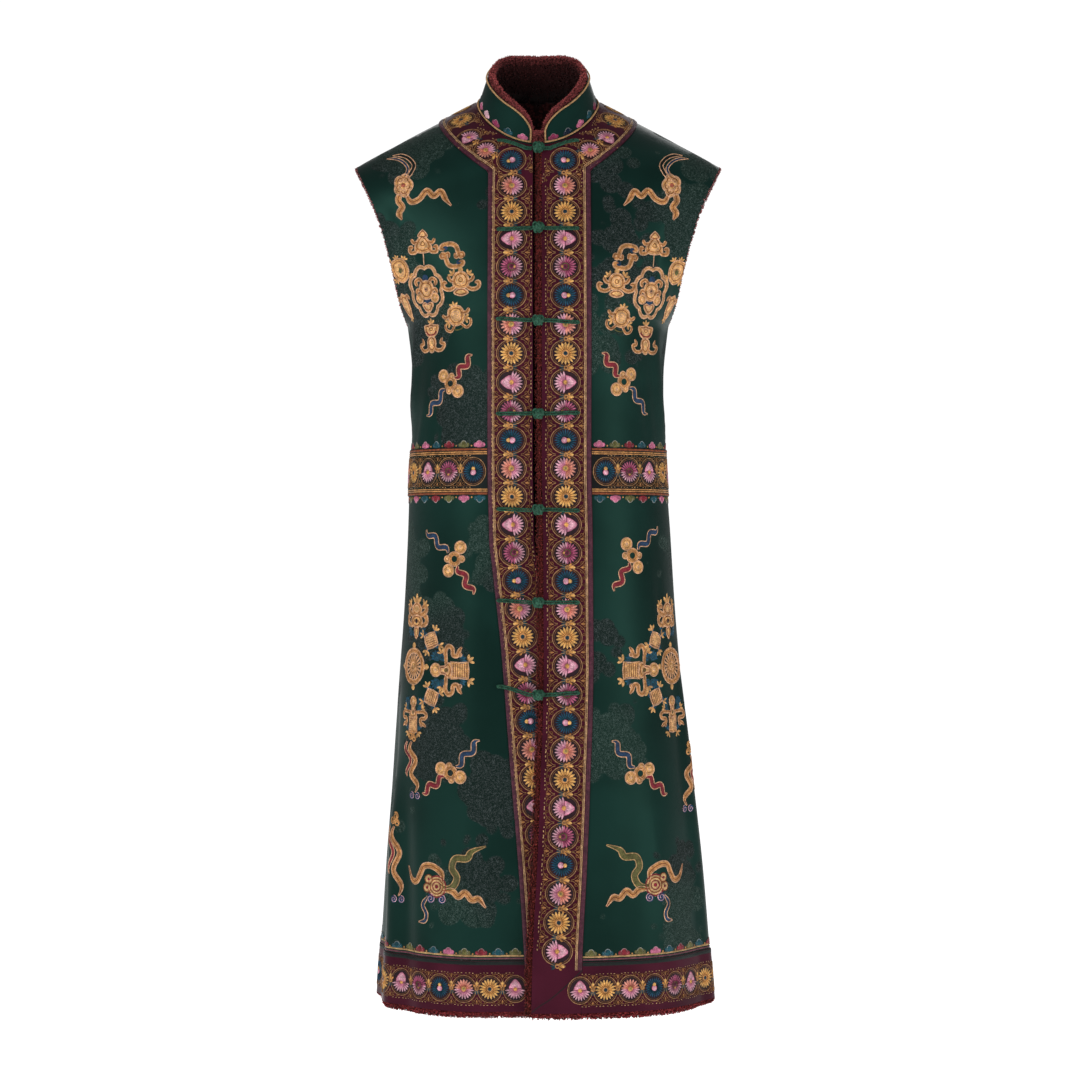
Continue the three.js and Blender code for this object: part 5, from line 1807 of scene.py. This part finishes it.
def plate(pattern, outline, lines=2):
    """A filled gold shape in a pale outline, with smaller and smaller lines inside it."""
    outline = np.asarray(outline, float)
    middle = outline.mean(axis=0)
    pattern.fill(outline, GOLD_THREAD, 0.5, 0.15, LIGHT_GOLD)
    pattern.ribbon(outline, 1.5, OUTLINE, 0.75, closed=True, low=0.25)
    for number in range(lines):
        inner = middle + (outline - middle) * (0.72 - number * 0.25)
        pattern.ribbon(inner, 1.0, (RUST, OUTLINE)[number % 2], 0.72, closed=True, low=0.5)
    return pattern


def both_sides(*knots):
    """A smooth closed outline through points on one side, top first, and their mirror."""
    half = np.array(knots, float)
    around = np.concatenate([half, half[::-1] * [-1, 1]])
    return curve(*around, around[0], count=3)[:-1]


def arm(pattern, knots, width=4.5):
    """A thick curled arm in a pale outline."""
    path = curve(*knots, count=5)
    pattern.ribbon(path, tapered(width, len(path), 0.6, 0.35), OUTLINE, 0.5)
    pattern.ribbon(path, tapered(width * 0.62, len(path), 0.6, 0.3), GOLD_THREAD, 0.8, low=0.35)
    return pattern.ribbon(path, 0.7, RUST, 0.86, low=0.7)


def arms(pattern, *knots, width=4.5):
    for side in (-1, 1):
        arm(pattern, np.array(knots, float) * [side, 1], width)
    return pattern


def boss(pattern, centre, radius, middle=RUST):
    """A round gold button with a dark ring inside its pale rim."""
    pattern.dot(centre, radius, GOLD_THREAD, 16, 0.5, LIGHT_GOLD)
    pattern.ring(centre, radius, radius, 1.5, OUTLINE, 20, 0.75)
    pattern.ring(centre, radius * 0.62, radius * 0.62, 1.1, middle, 14, 0.78)
    return pattern.dot(centre, radius * 0.3, OUTLINE, 8, 0.8)


def lily(pattern, centre, turn, size=7.0):
    """Three short petals on a thin stem."""
    for bend in (-48, 0, 48):
        pattern.petal(turn + bend, 0.5, size, size * 0.42, GOLD_THREAD, LIGHT_GOLD, centre, 0.7)
    return pattern


def canopy_emblem():
    pattern = Stitches().ribbon([(0, -9), (0, -25)], 1.3, OUTLINE)
    arms(pattern, (6, -4), (11, -9), (17, -9), (17, -3), (13, -4), width=5)
    arms(pattern, (7, 3), (12, 2), (15, 7))
    plate(pattern, both_sides((0, 13), (4, 9), (10, 0), (11, -7), (4, -10)), 3)
    return plate(pattern, both_sides((0, 18), (4, 14), (6, 10), (2, 8)), 1)


def fish_emblem():
    """Two fish that chase round in a ring, with blue between their jaws."""
    pattern = Stitches()
    for side in (-1, 1):
        pattern.dot(np.array([9, 9.5]) * side, 3.4, RIBBON_BLUE, 10, 0.4)
        for knots, width in (
            (((-15, -2), (-10, -1), (-8, 5), (-5, 12), (2, 15), (12, 13), (14, 9), (9, 8)), 6.5),
            (((-11, 0), (-5, -3), (-4, 3)), 4),
            (((-9, 2), (-14, 3), (-16, -2)), 4),
        ):
            arm(pattern, np.array(knots) * side, width)
    return pattern


def lotus_emblem():
    pattern = Stitches().petal(90, 9, 18, 6, GOLD_THREAD, LIGHT_GOLD)
    arms(pattern, (7, -6), (14, -9), (21, -7), (22, -1), (17, -1), width=5)
    arms(pattern, (8, 0), (13, 2), (16, 7))
    lily(lily(pattern, (9, 8), 50), (-9, 8), 130)
    plate(pattern, both_sides((0, 12), (6, 10), (10, 3), (9, -5), (3, -8)), 3)
    return plate(pattern, both_sides((0, -8), (5, -9), (9, -13), (3, -16)), 1)


def shell_emblem():
    pattern = Stitches()
    arms(pattern, (4, -9), (10, -15), (16, -12), (17, -5), width=3.4)
    arms(pattern, (8, 3), (14, 2), (18, 6))
    lily(lily(lily(pattern, (0, 11), 90), (10, -4), -20), (-10, -4), 200)
    plate(pattern, both_sides((0, 13), (8, 10), (11, 1), (8, -7), (3, -10)), 1)
    pattern.ribbon(spiral((0, 1.5), 6.8, 200, 2.2, 34, 0.1), 1.3, OUTLINE, 0.85, low=0.5)
    return pattern.ribbon(arc((0, -12), 7, 200, 340, 9, 0.5), 1.4, OLIVE, 0.8)


def vase_emblem():
    pattern = Stitches()
    arms(pattern, (3, -9), (8, -15), (16, -15), (20, -9), (15, -7), (17, -1))
    plate(pattern, both_sides((0, 2), (6, -2), (7, -9), (3, -17)), 2)
    plate(pattern, both_sides((0, 16), (5, 14), (12, 13), (9, 4), (3, 0)), 3)
    pattern.ribbon(arc((0, 9), 9, 200, 340, 12, 0.75), 1.8, RED, 0.9, low=0.5)
    return lily(pattern, (0, 15), 90)


def knot_emblem():
    pattern = Stitches()
    for x, y, turn in ((10, 12, 50), (0, 15, 90), (-10, 12, 130), (11, -9, -40), (-11, -9, 220)):
        lily(pattern, (x, y), turn, 6)
    plate(pattern, both_sides((0, 16), (9, 13), (13, 2), (10, -10), (3, -15)), 3)
    pattern.dot((0, 0), 4.4, OLIVE, 12, 0.75)
    return pattern.ring((0, 0), 3, 4.2, 1.2, OUTLINE, 12, 0.85)


def banner_emblem():
    pattern = Stitches()
    arms(pattern, (4, 8), (9, 10), (11, 5))
    plate(pattern, both_sides((0, 14), (6, 9), (7, -4), (3, -15)), 2)
    return lily(pattern, (0, -13), 270)


def lobed(across, up, lobes, depth, count=48):
    turn = span(0, 2 * pi, count + 1)[:-1]
    reach = 1 + depth * np.abs(np.sin(turn * lobes / 2))
    return np.stack([across * reach * np.cos(turn), up * reach * np.sin(turn)], 1)


def medallion():
    """A lobed ring round a lotus on two rings and a bowl."""
    pattern = Stitches()
    ring = lobed(20, 26, 8, 0.14)
    pattern.ribbon(ring, 4.6, OUTLINE, 0.7, closed=True)
    pattern.ribbon(ring, 1.6, GOLD_THREAD, 0.9, closed=True, low=0.6)
    pattern.dot((0, 15), 4, RIBBON_BLUE, 10, 0.3)
    pattern.dot((0, -12), 4.6, RIBBON_BLUE, 10, 0.3)
    arms(pattern, (4, 9), (9, 14), (14, 11), (12, 6))
    arms(pattern, (5, -2), (12, 2), (15, -3))
    plate(pattern, both_sides((0, 12), (7, 10), (10, 3), (7, -6), (3, -9)), 3)
    for side in (-1, 1):
        boss(pattern, (side * 11, -8), 5.2)
    plate(pattern, both_sides((0, -15), (5, -13), (8, -16), (3, -23)), 2)
    pattern.dot((0, 2), 3.6, RUST, 10, 0.8, OUTLINE)
    return pattern.dot((0, 2), 1.6, PURPLE, 8, 0.9)


def cluster(slant, red_end, blue_end):
    """A ring between two round buttons on a slant, with a red and a blue ribbon."""
    slant, red_end, blue_end = (np.array(way, float) for way in (slant, red_end, blue_end))
    pattern = Stitches()
    for end, shade in ((red_end, RED), (blue_end, RIBBON_BLUE)):
        pattern.together(streamer(wave(end * 0.2, end, 2, 3.4, 36), 6.2, shade))
    aside = np.array([-slant[1], slant[0]])
    pattern.ring((0, 0), 6.2, 6.2, 5, GOLD_THREAD, 20, 0.7)
    pattern.ring((0, 0), 8.4, 8.4, 1.3, OUTLINE, 22, 0.8)
    pattern.ring((0, 0), 5.6, 5.6, 1.0, RUST, 18, 0.82)
    for side in (-1, 1):
        boss(pattern, slant * side * 1.12, 7.2)
        boss(pattern, slant * side * 0.35 + aside * side * 0.6, 3.6)
    return pattern


def wheel():
    pattern = Stitches()
    for angle in range(0, 360, 20):
        pattern.petal(angle, 5, 16, 3, GOLD_THREAD, OUTLINE)
    for radius, width, shade in (
        (18.4, 5.6, GOLD_THREAD), (21.2, 1.5, OUTLINE), (15.6, 1.5, OUTLINE), (18.4, 1.2, RUST),
        (6, 2.6, GOLD_THREAD),
    ):
        pattern.ring((0, 0), radius, radius, width, shade, 36, 0.85 if width < 2 else 0.6)
    for angle in range(0, 360, 90):
        pattern.petal(angle, 20, 28, 7, GOLD_THREAD, LIGHT_GOLD)
    return boss(pattern, (0, 0), 5, PURPLE)


def woven(pattern, outline, step):
    """A plate with a woven grid of light and dark stitches on it."""
    plate(pattern, outline, 0)
    outline = np.asarray(outline, float)
    low, high = outline.min(axis=0) * 0.78, outline.max(axis=0) * 0.78
    for x in np.arange(low[0], high[0], step):
        pattern.ribbon([(x, low[1]), (x, high[1])], 0.9, RUST, 0.66, low=0.5)
    for y in np.arange(low[1], high[1], step):
        pattern.ribbon([(low[0], y), (high[0], y)], 0.9, OUTLINE, 0.74, low=0.5)
    return pattern


def diamond():
    """A woven diamond with lily tips and teal plumes."""
    pattern = Stitches()
    for angle in range(45, 360, 90):
        place = 11 * np.array([np.cos(radians(angle)), np.sin(radians(angle))])
        pattern.together(feather(), place * 0.9, angle + 45, 0.6)
        pattern.ribbon([place * 0.7, place * 1.25], 1.6, OUTLINE)
        lily(pattern, place * 1.15, angle, 7.4)
    square = [(-8, -8), (0, -9), (8, -8), (9, 0), (8, 8), (0, 9), (-8, 8), (-9, 0)]
    return Stitches().together(woven(pattern, square, 2.6), turn=45)


HANDLE = ((8, 6), (9, 15), (9, 23), (5, 28), (0, 25), (-1, 18), (-6, 17), (-9, 23), (-12, 27))


def great_urn():
    """An urn on its side, its mouth toward +x, with curled handles and lily feet."""
    pattern = Stitches()
    for side in (-1, 1):
        pattern.together(feather(), (17, side * 11), 90 * side, 1.15)
        pattern.together(feather(), (22, side * 15), 60 * side, 0.9)
        pattern.together(feather(), (-10, side * 12), 170, 0.9)
        arm(pattern, np.array(HANDLE) * [1, side], 5.6)
        boss(pattern, (-10, side * 18), 2)
        lily(pattern, (-20, side * 11), 180 - side * 35, 8)
        lily(pattern, (14, side * 19), 60 * side, 7)
    shoulder = both_sides((0, 19), (4, 17), (5, 10), (9, 4), (3, 0))[:, ::-1]
    plate(pattern, shoulder, 2)
    pattern.dot((8, 0), 3.4, RUST, 10, 0.75, OLIVE)
    body = Stitches()
    belly = [(-11, -10), (0, -9), (11, -10), (10, 0), (11, 10), (0, 9), (-11, 10), (-12, 0)]
    pattern.together(woven(body, belly, 2.8), (-9, 0))
    return boss(pattern, (23, 0), 7.6)


def feather():
    """Short teal plumes."""
    pattern = Stitches()
    for angle in range(-80, 100, 32):
        pattern.petal(angle, 1, 9, 2.8, TEAL, BLUE, rise=0.3)
        pattern.petal(angle + 15, 1, 7, 1.8, NAVY, TEAL, rise=0.35)
    return pattern


def finial():
    """A tall lotus on a stem, above the wheel."""
    pattern = Stitches()
    for side in (-1, 1):
        pattern.together(feather(), (side * 10, -15), -90 + side * 50, 1.0)
        lily(pattern, (side * 15, 13), 90 - side * 35, 8)
    arms(pattern, (4, 3), (12, 3), (19, 8), (16, 13), (11, 10), width=6.5)
    arms(pattern, (3, -4), (11, -10), (19, -7), (19, 0), (14, 0), width=6.5)
    lily(pattern, (0, 15), 90, 12)
    plate(pattern, both_sides((0, 17), (7, 14), (10, 7), (4, 2)), 2)
    plate(pattern, both_sides((0, 2), (9, 0), (12, -7), (4, -12)), 1)
    pattern.dot((0, -5), 3.4, PURPLE, 10, 0.75)
    plate(pattern, both_sides((0, -11), (4, -14), (4, -20), (1, -25)), 1)
    return pattern


def rose_knot():
    """A curled rose with small clouds below it, and four ribbons that fly from it."""
    pattern = Stitches()
    olive = curve(
        (-4, 4), (-14, -2), (-22, 2), (-26, 12), (-20, 22), (-24, 33), (-38, 34), (-44, 42),
        (-60, 48),
    )
    pattern.together(streamer(olive, 7.5, OLIVE, PALE_GOLD))
    twist = curve((-8, -4), (-20, -4), (-28, -10), (-36, -5), (-44, -13), (-52, -12), (-60, -22))
    pattern.together(gold_ribbon(twist, 6.5))
    over = curve((-8, 6), (-6, 16), (6, 23), (18, 22), (24, 12), (30, 4), (40, 6), (48, 20))
    pattern.together(gold_ribbon(over, 6.5))
    tail = curve((12, -12), (19, -22), (14, -32), (16, -40), (25, -42))
    pattern.together(streamer(tail, 4.5, RIBBON_BLUE))
    for x, y, radius in ((-7, -14, 5.2), (8, -14, 5.6)):
        pattern.dot((x, y), radius, RIBBON_BLUE, 12, 0.4)
        pattern.ribbon(spiral((x, y), radius, 90, 1.5, 18), 1.1, PALE_PINK, 0.7)
    pattern.fill(lobed(12, 12, 6, 0.1, 24), PALE_GOLD, 0.3, 0.1)
    for radius in (12, 8.6, 5.2):
        pattern.ring((0, 0), radius, radius, 1.9, RED if radius != 8.6 else RUST, 22, 0.7)
    pattern.dot((0, 0), 2.6, RED, 8, 0.8)
    for x, y in ((11, 8), (13, -2)):
        pattern.dot((x, y), 5.4, PALE_GOLD, 12, 0.5)
        pattern.ring((x, y), 5, 5, 1.4, RUST, 14, 0.8)
        pattern.dot((x, y), 2, RED, 7, 0.8)
    return pattern


def shoulder_knot():
    """A rosette of loops with three ribbons."""
    pattern = Stitches()
    rising = curve((-4, 8), (-9, 16), (-12, 25), (-6, 34), (3, 39), (14, 40))
    pattern.together(streamer(rising, 4.2, GREEN_DARK))
    pattern.together(streamer(rising + [7, -4], 3, RIBBON_BLUE))
    swing = curve(
        (-2, -8), (-9, -20), (-19, -17), (-28, -7), (-36, -14), (-44, -8), (-50, -18), (-57, -26)
    )
    pattern.together(gold_ribbon(swing, 6))
    tail = curve((3, -8), (6, -18), (1, -26), (5, -33), (2, -41))
    pattern.together(gold_ribbon(tail, 6.5))
    plate(pattern, lobed(9.5, 12, 5, 0.2, 40), 2)
    for angle in range(54, 360, 72):
        boss(pattern, (6 * np.cos(radians(angle)), 8 * np.sin(radians(angle))), 3.2)
    return pattern.dot((0, 0), 3.2, RUST, 10, 0.8, SALMON)


def side_ribbon(length):
    """A wavy ribbon that hangs from a rosette and ends in small clouds."""
    pattern = Stitches()
    path = wave((4, -4), (-4, -length), 2, 5, 40)
    pattern.together(gold_ribbon(path, 6))
    pattern.together(streamer(path[:28] + [9, 0], 4.4, RED))
    for x, y in ((0, 0), (7, 3), (2, 8)):
        curl(pattern, (x, y), 4.4, 30 * x, 1.5, 2)
    for x in (-8, 2):
        pattern.dot((x, -length - 4), 4.4, RIBBON_BLUE, 10, 0.4)
        pattern.ribbon(spiral((x, -length - 4), 4.4, 90, 1.4, 15), 1, PALE_PINK, 0.7)
    return pattern


# Each motif's place: distance round from the centre line and height, left and right front.
MOTIFS = {
    "shoulder": [(157, -105), (158, -105)], "medallion": [(137, -232), (135, -230)],
    "upper": [(104, -336), (106, -338)], "middle": [(114, -538), (99, -542)],
    "wheel": [(179, -668), (162, -668)], "urn": [(121, -671), (101, -671)],
    "lower": [(122, -790), (103, -789)], "rose": [(139, -918), (120, -920)],
    "high_side": [(205, -770), (158, -752)], "low_side": [(250, -850), (186, -852)],
}
CHEST_RING = [  # round the medallion: emblem, across, up, turn and size
    (canopy_emblem, 0, 54, 0, 0.96), (fish_emblem, -35, 40, 0, 0.9),
    (lotus_emblem, -45, 9, 0, 0.98), (shell_emblem, -38, -31, -12, 1.0),
    (vase_emblem, -1, -53, 0, 1.0), (knot_emblem, 32, 25, -12, 0.88),
    (banner_emblem, 38, -14, -8, 0.95),
]
CLUSTERS = {
    "upper": ((9, 8), (-29, 32), (38, -36)), "middle": ((-7, 12), (-24, -41), (42, 34)),
    "lower": ((-11, -4), (39, -25), (-36, 38)),
}
HIP_RING = [(-31, 31, 25), (-32, -35, -25)]  # the wheel's diamonds: across, up and turn
FINIAL_PLACE = (-4, 58)  # across and up from the wheel
LOW_URN_PLACE = (-2, -60)
LOW_URN_SIZE = 0.82


def embroider_cloth(panel):
    work = Work(f"stitches_cloth_{panel.name}")
    column = 0 if panel.side > 0 else 1
    at = {name: np.array(places[column], float) for name, places in MOTIFS.items()}
    work.on_body(panel, shoulder_knot(), at["shoulder"])
    work.on_body(panel, medallion(), at["medallion"])
    for emblem, across, up, turn, size in CHEST_RING:
        turned = Stitches().together(emblem(), turn=turn, size=size)
        work.on_body(panel, turned, at["medallion"] + [across, up])
    for name, ways in CLUSTERS.items():
        work.on_body(panel, cluster(*ways), at[name])
    work.on_body(panel, wheel(), at["wheel"])
    work.on_body(panel, great_urn(), at["urn"])
    for across, up, turn in HIP_RING:
        turned = Stitches().together(diamond(), turn=turn)
        work.on_body(panel, turned, at["wheel"] + [across, up])
    work.on_body(panel, finial(), at["wheel"] + FINIAL_PLACE)
    low_urn = Stitches().together(great_urn(), turn=90, size=LOW_URN_SIZE)
    work.on_body(panel, low_urn, at["wheel"] + LOW_URN_PLACE)
    work.on_body(panel, rose_knot(), at["rose"])
    work.on_body(panel, side_ribbon(62), at["high_side"])
    work.on_body(panel, side_ribbon(84), at["low_side"])
    work.make()


class CollarFace(Panel):
    """Half of the collar's outer face, over the distance round the neck and the height."""

    def __init__(self, side):
        self.kind, self.side = "collar", side
        self.s, self.t = span(0, 1, 61), span(0, 1, 15)
        angle = lerp(COLLAR_TIP, 180, self.s)
        height = lerp(COLLAR_BASE, collar_top(angle), self.t[:, None])
        turned = np.broadcast_to(angle if side > 0 else 360 - angle, height.shape)
        self.point = collar_point(turned, height, COLLAR_FACE)
        self.normal = np.broadcast_to(collar_frame(turned[0])[0], self.point.shape)
        arc_length = np.radians(angle - COLLAR_TIP) * NECK_HALF_WIDTH
        self.body = np.stack([np.broadcast_to(arc_length, height.shape), height], axis=-1)


COLLAR_CLOUD_COUNT = 11  # on each side
FIRST_COLLAR_CLOUD = 11  # from the collar's front end
COLLAR_CLOUD_HEIGHT = 6.5
COLLAR_CLOUDS = {1: (MAGENTA, NAVY, PINK, TEAL), -1: (PINK, TEAL, MAGENTA, PALE_PINK)}


def embroider_collar():
    work = Work("stitches_collar")
    for side, shades in COLLAR_CLOUDS.items():
        face = CollarFace(side)
        for number in range(COLLAR_CLOUD_COUNT):
            cloud = Stitches().together(cloud_head(shades[number % 4]), size=0.95)
            across = FIRST_COLLAR_CLOUD + number * CLOUD_STEP
            work.on_body(face, cloud, (across, COLLAR_CLOUD_HEIGHT))
    work.make()


for panel in panels:
    embroider_cloth(panel)
embroider_collar()


# ---------------------------------------------------------------- stage
def add_stage():
    """A pale floor far below, in a white room."""
    mesh = bpy.data.meshes.new("floor")
    reach, z = 12000 * MM, FLOOR_Z * MM
    corners = [(-reach, -reach, z), (reach, -reach, z), (reach, reach, z), (-reach, reach, z)]
    mesh.from_pydata(corners, [], [(0, 1, 2, 3)])
    n = Nodes("floor", 0.9, Base_Color=(0.9, 0.9, 0.9), Emission_Color=(1.0, 1.0, 1.0))
    n.put(n.shader, Emission_Strength=0.95)
    mesh.materials.append(n.material)
    floor = bpy.data.objects.new("floor", mesh)
    bpy.context.collection.objects.link(floor)


def light_world():
    """White to the eye, with a softer light of its own on the coat."""
    world = bpy.data.worlds.new("studio")
    world.use_nodes = True
    tree = world.node_tree
    seen = tree.nodes.new("ShaderNodeLightPath")
    strength = tree.nodes.new("ShaderNodeMapRange")
    strength.inputs["To Min"].default_value = ROOM_LIGHT
    strength.inputs["To Max"].default_value = ROOM_WHITE
    background = tree.nodes["Background"]
    background.inputs["Color"].default_value = (1, 1, 1, 1)
    tree.links.new(seen.outputs["Is Camera Ray"], strength.inputs["Value"])
    tree.links.new(strength.outputs["Result"], background.inputs["Strength"])
    bpy.context.scene.world = world
    bpy.context.scene.view_settings.view_transform = "Standard"


add_stage()
light_world()


# ---------------------------------------------------------------- the cloth's cut
FRONT_CUT = (0.275, 1.09)  # width and length in metres
BACK_CUT = (0.57, 1.09)
COLLAR_CUT = (0.46, 0.05)


def declare_cut():
    """Each panel's area, capped at its flat size as it was cut; the result is not kept."""
    for (piece, area), flat in zip(cloth, (FRONT_CUT, FRONT_CUT, BACK_CUT)):
        area = min(area, flat[0] * flat[1])
    piece, area = collar
    area = min(area, COLLAR_CUT[0] * COLLAR_CUT[1])


declare_cut()
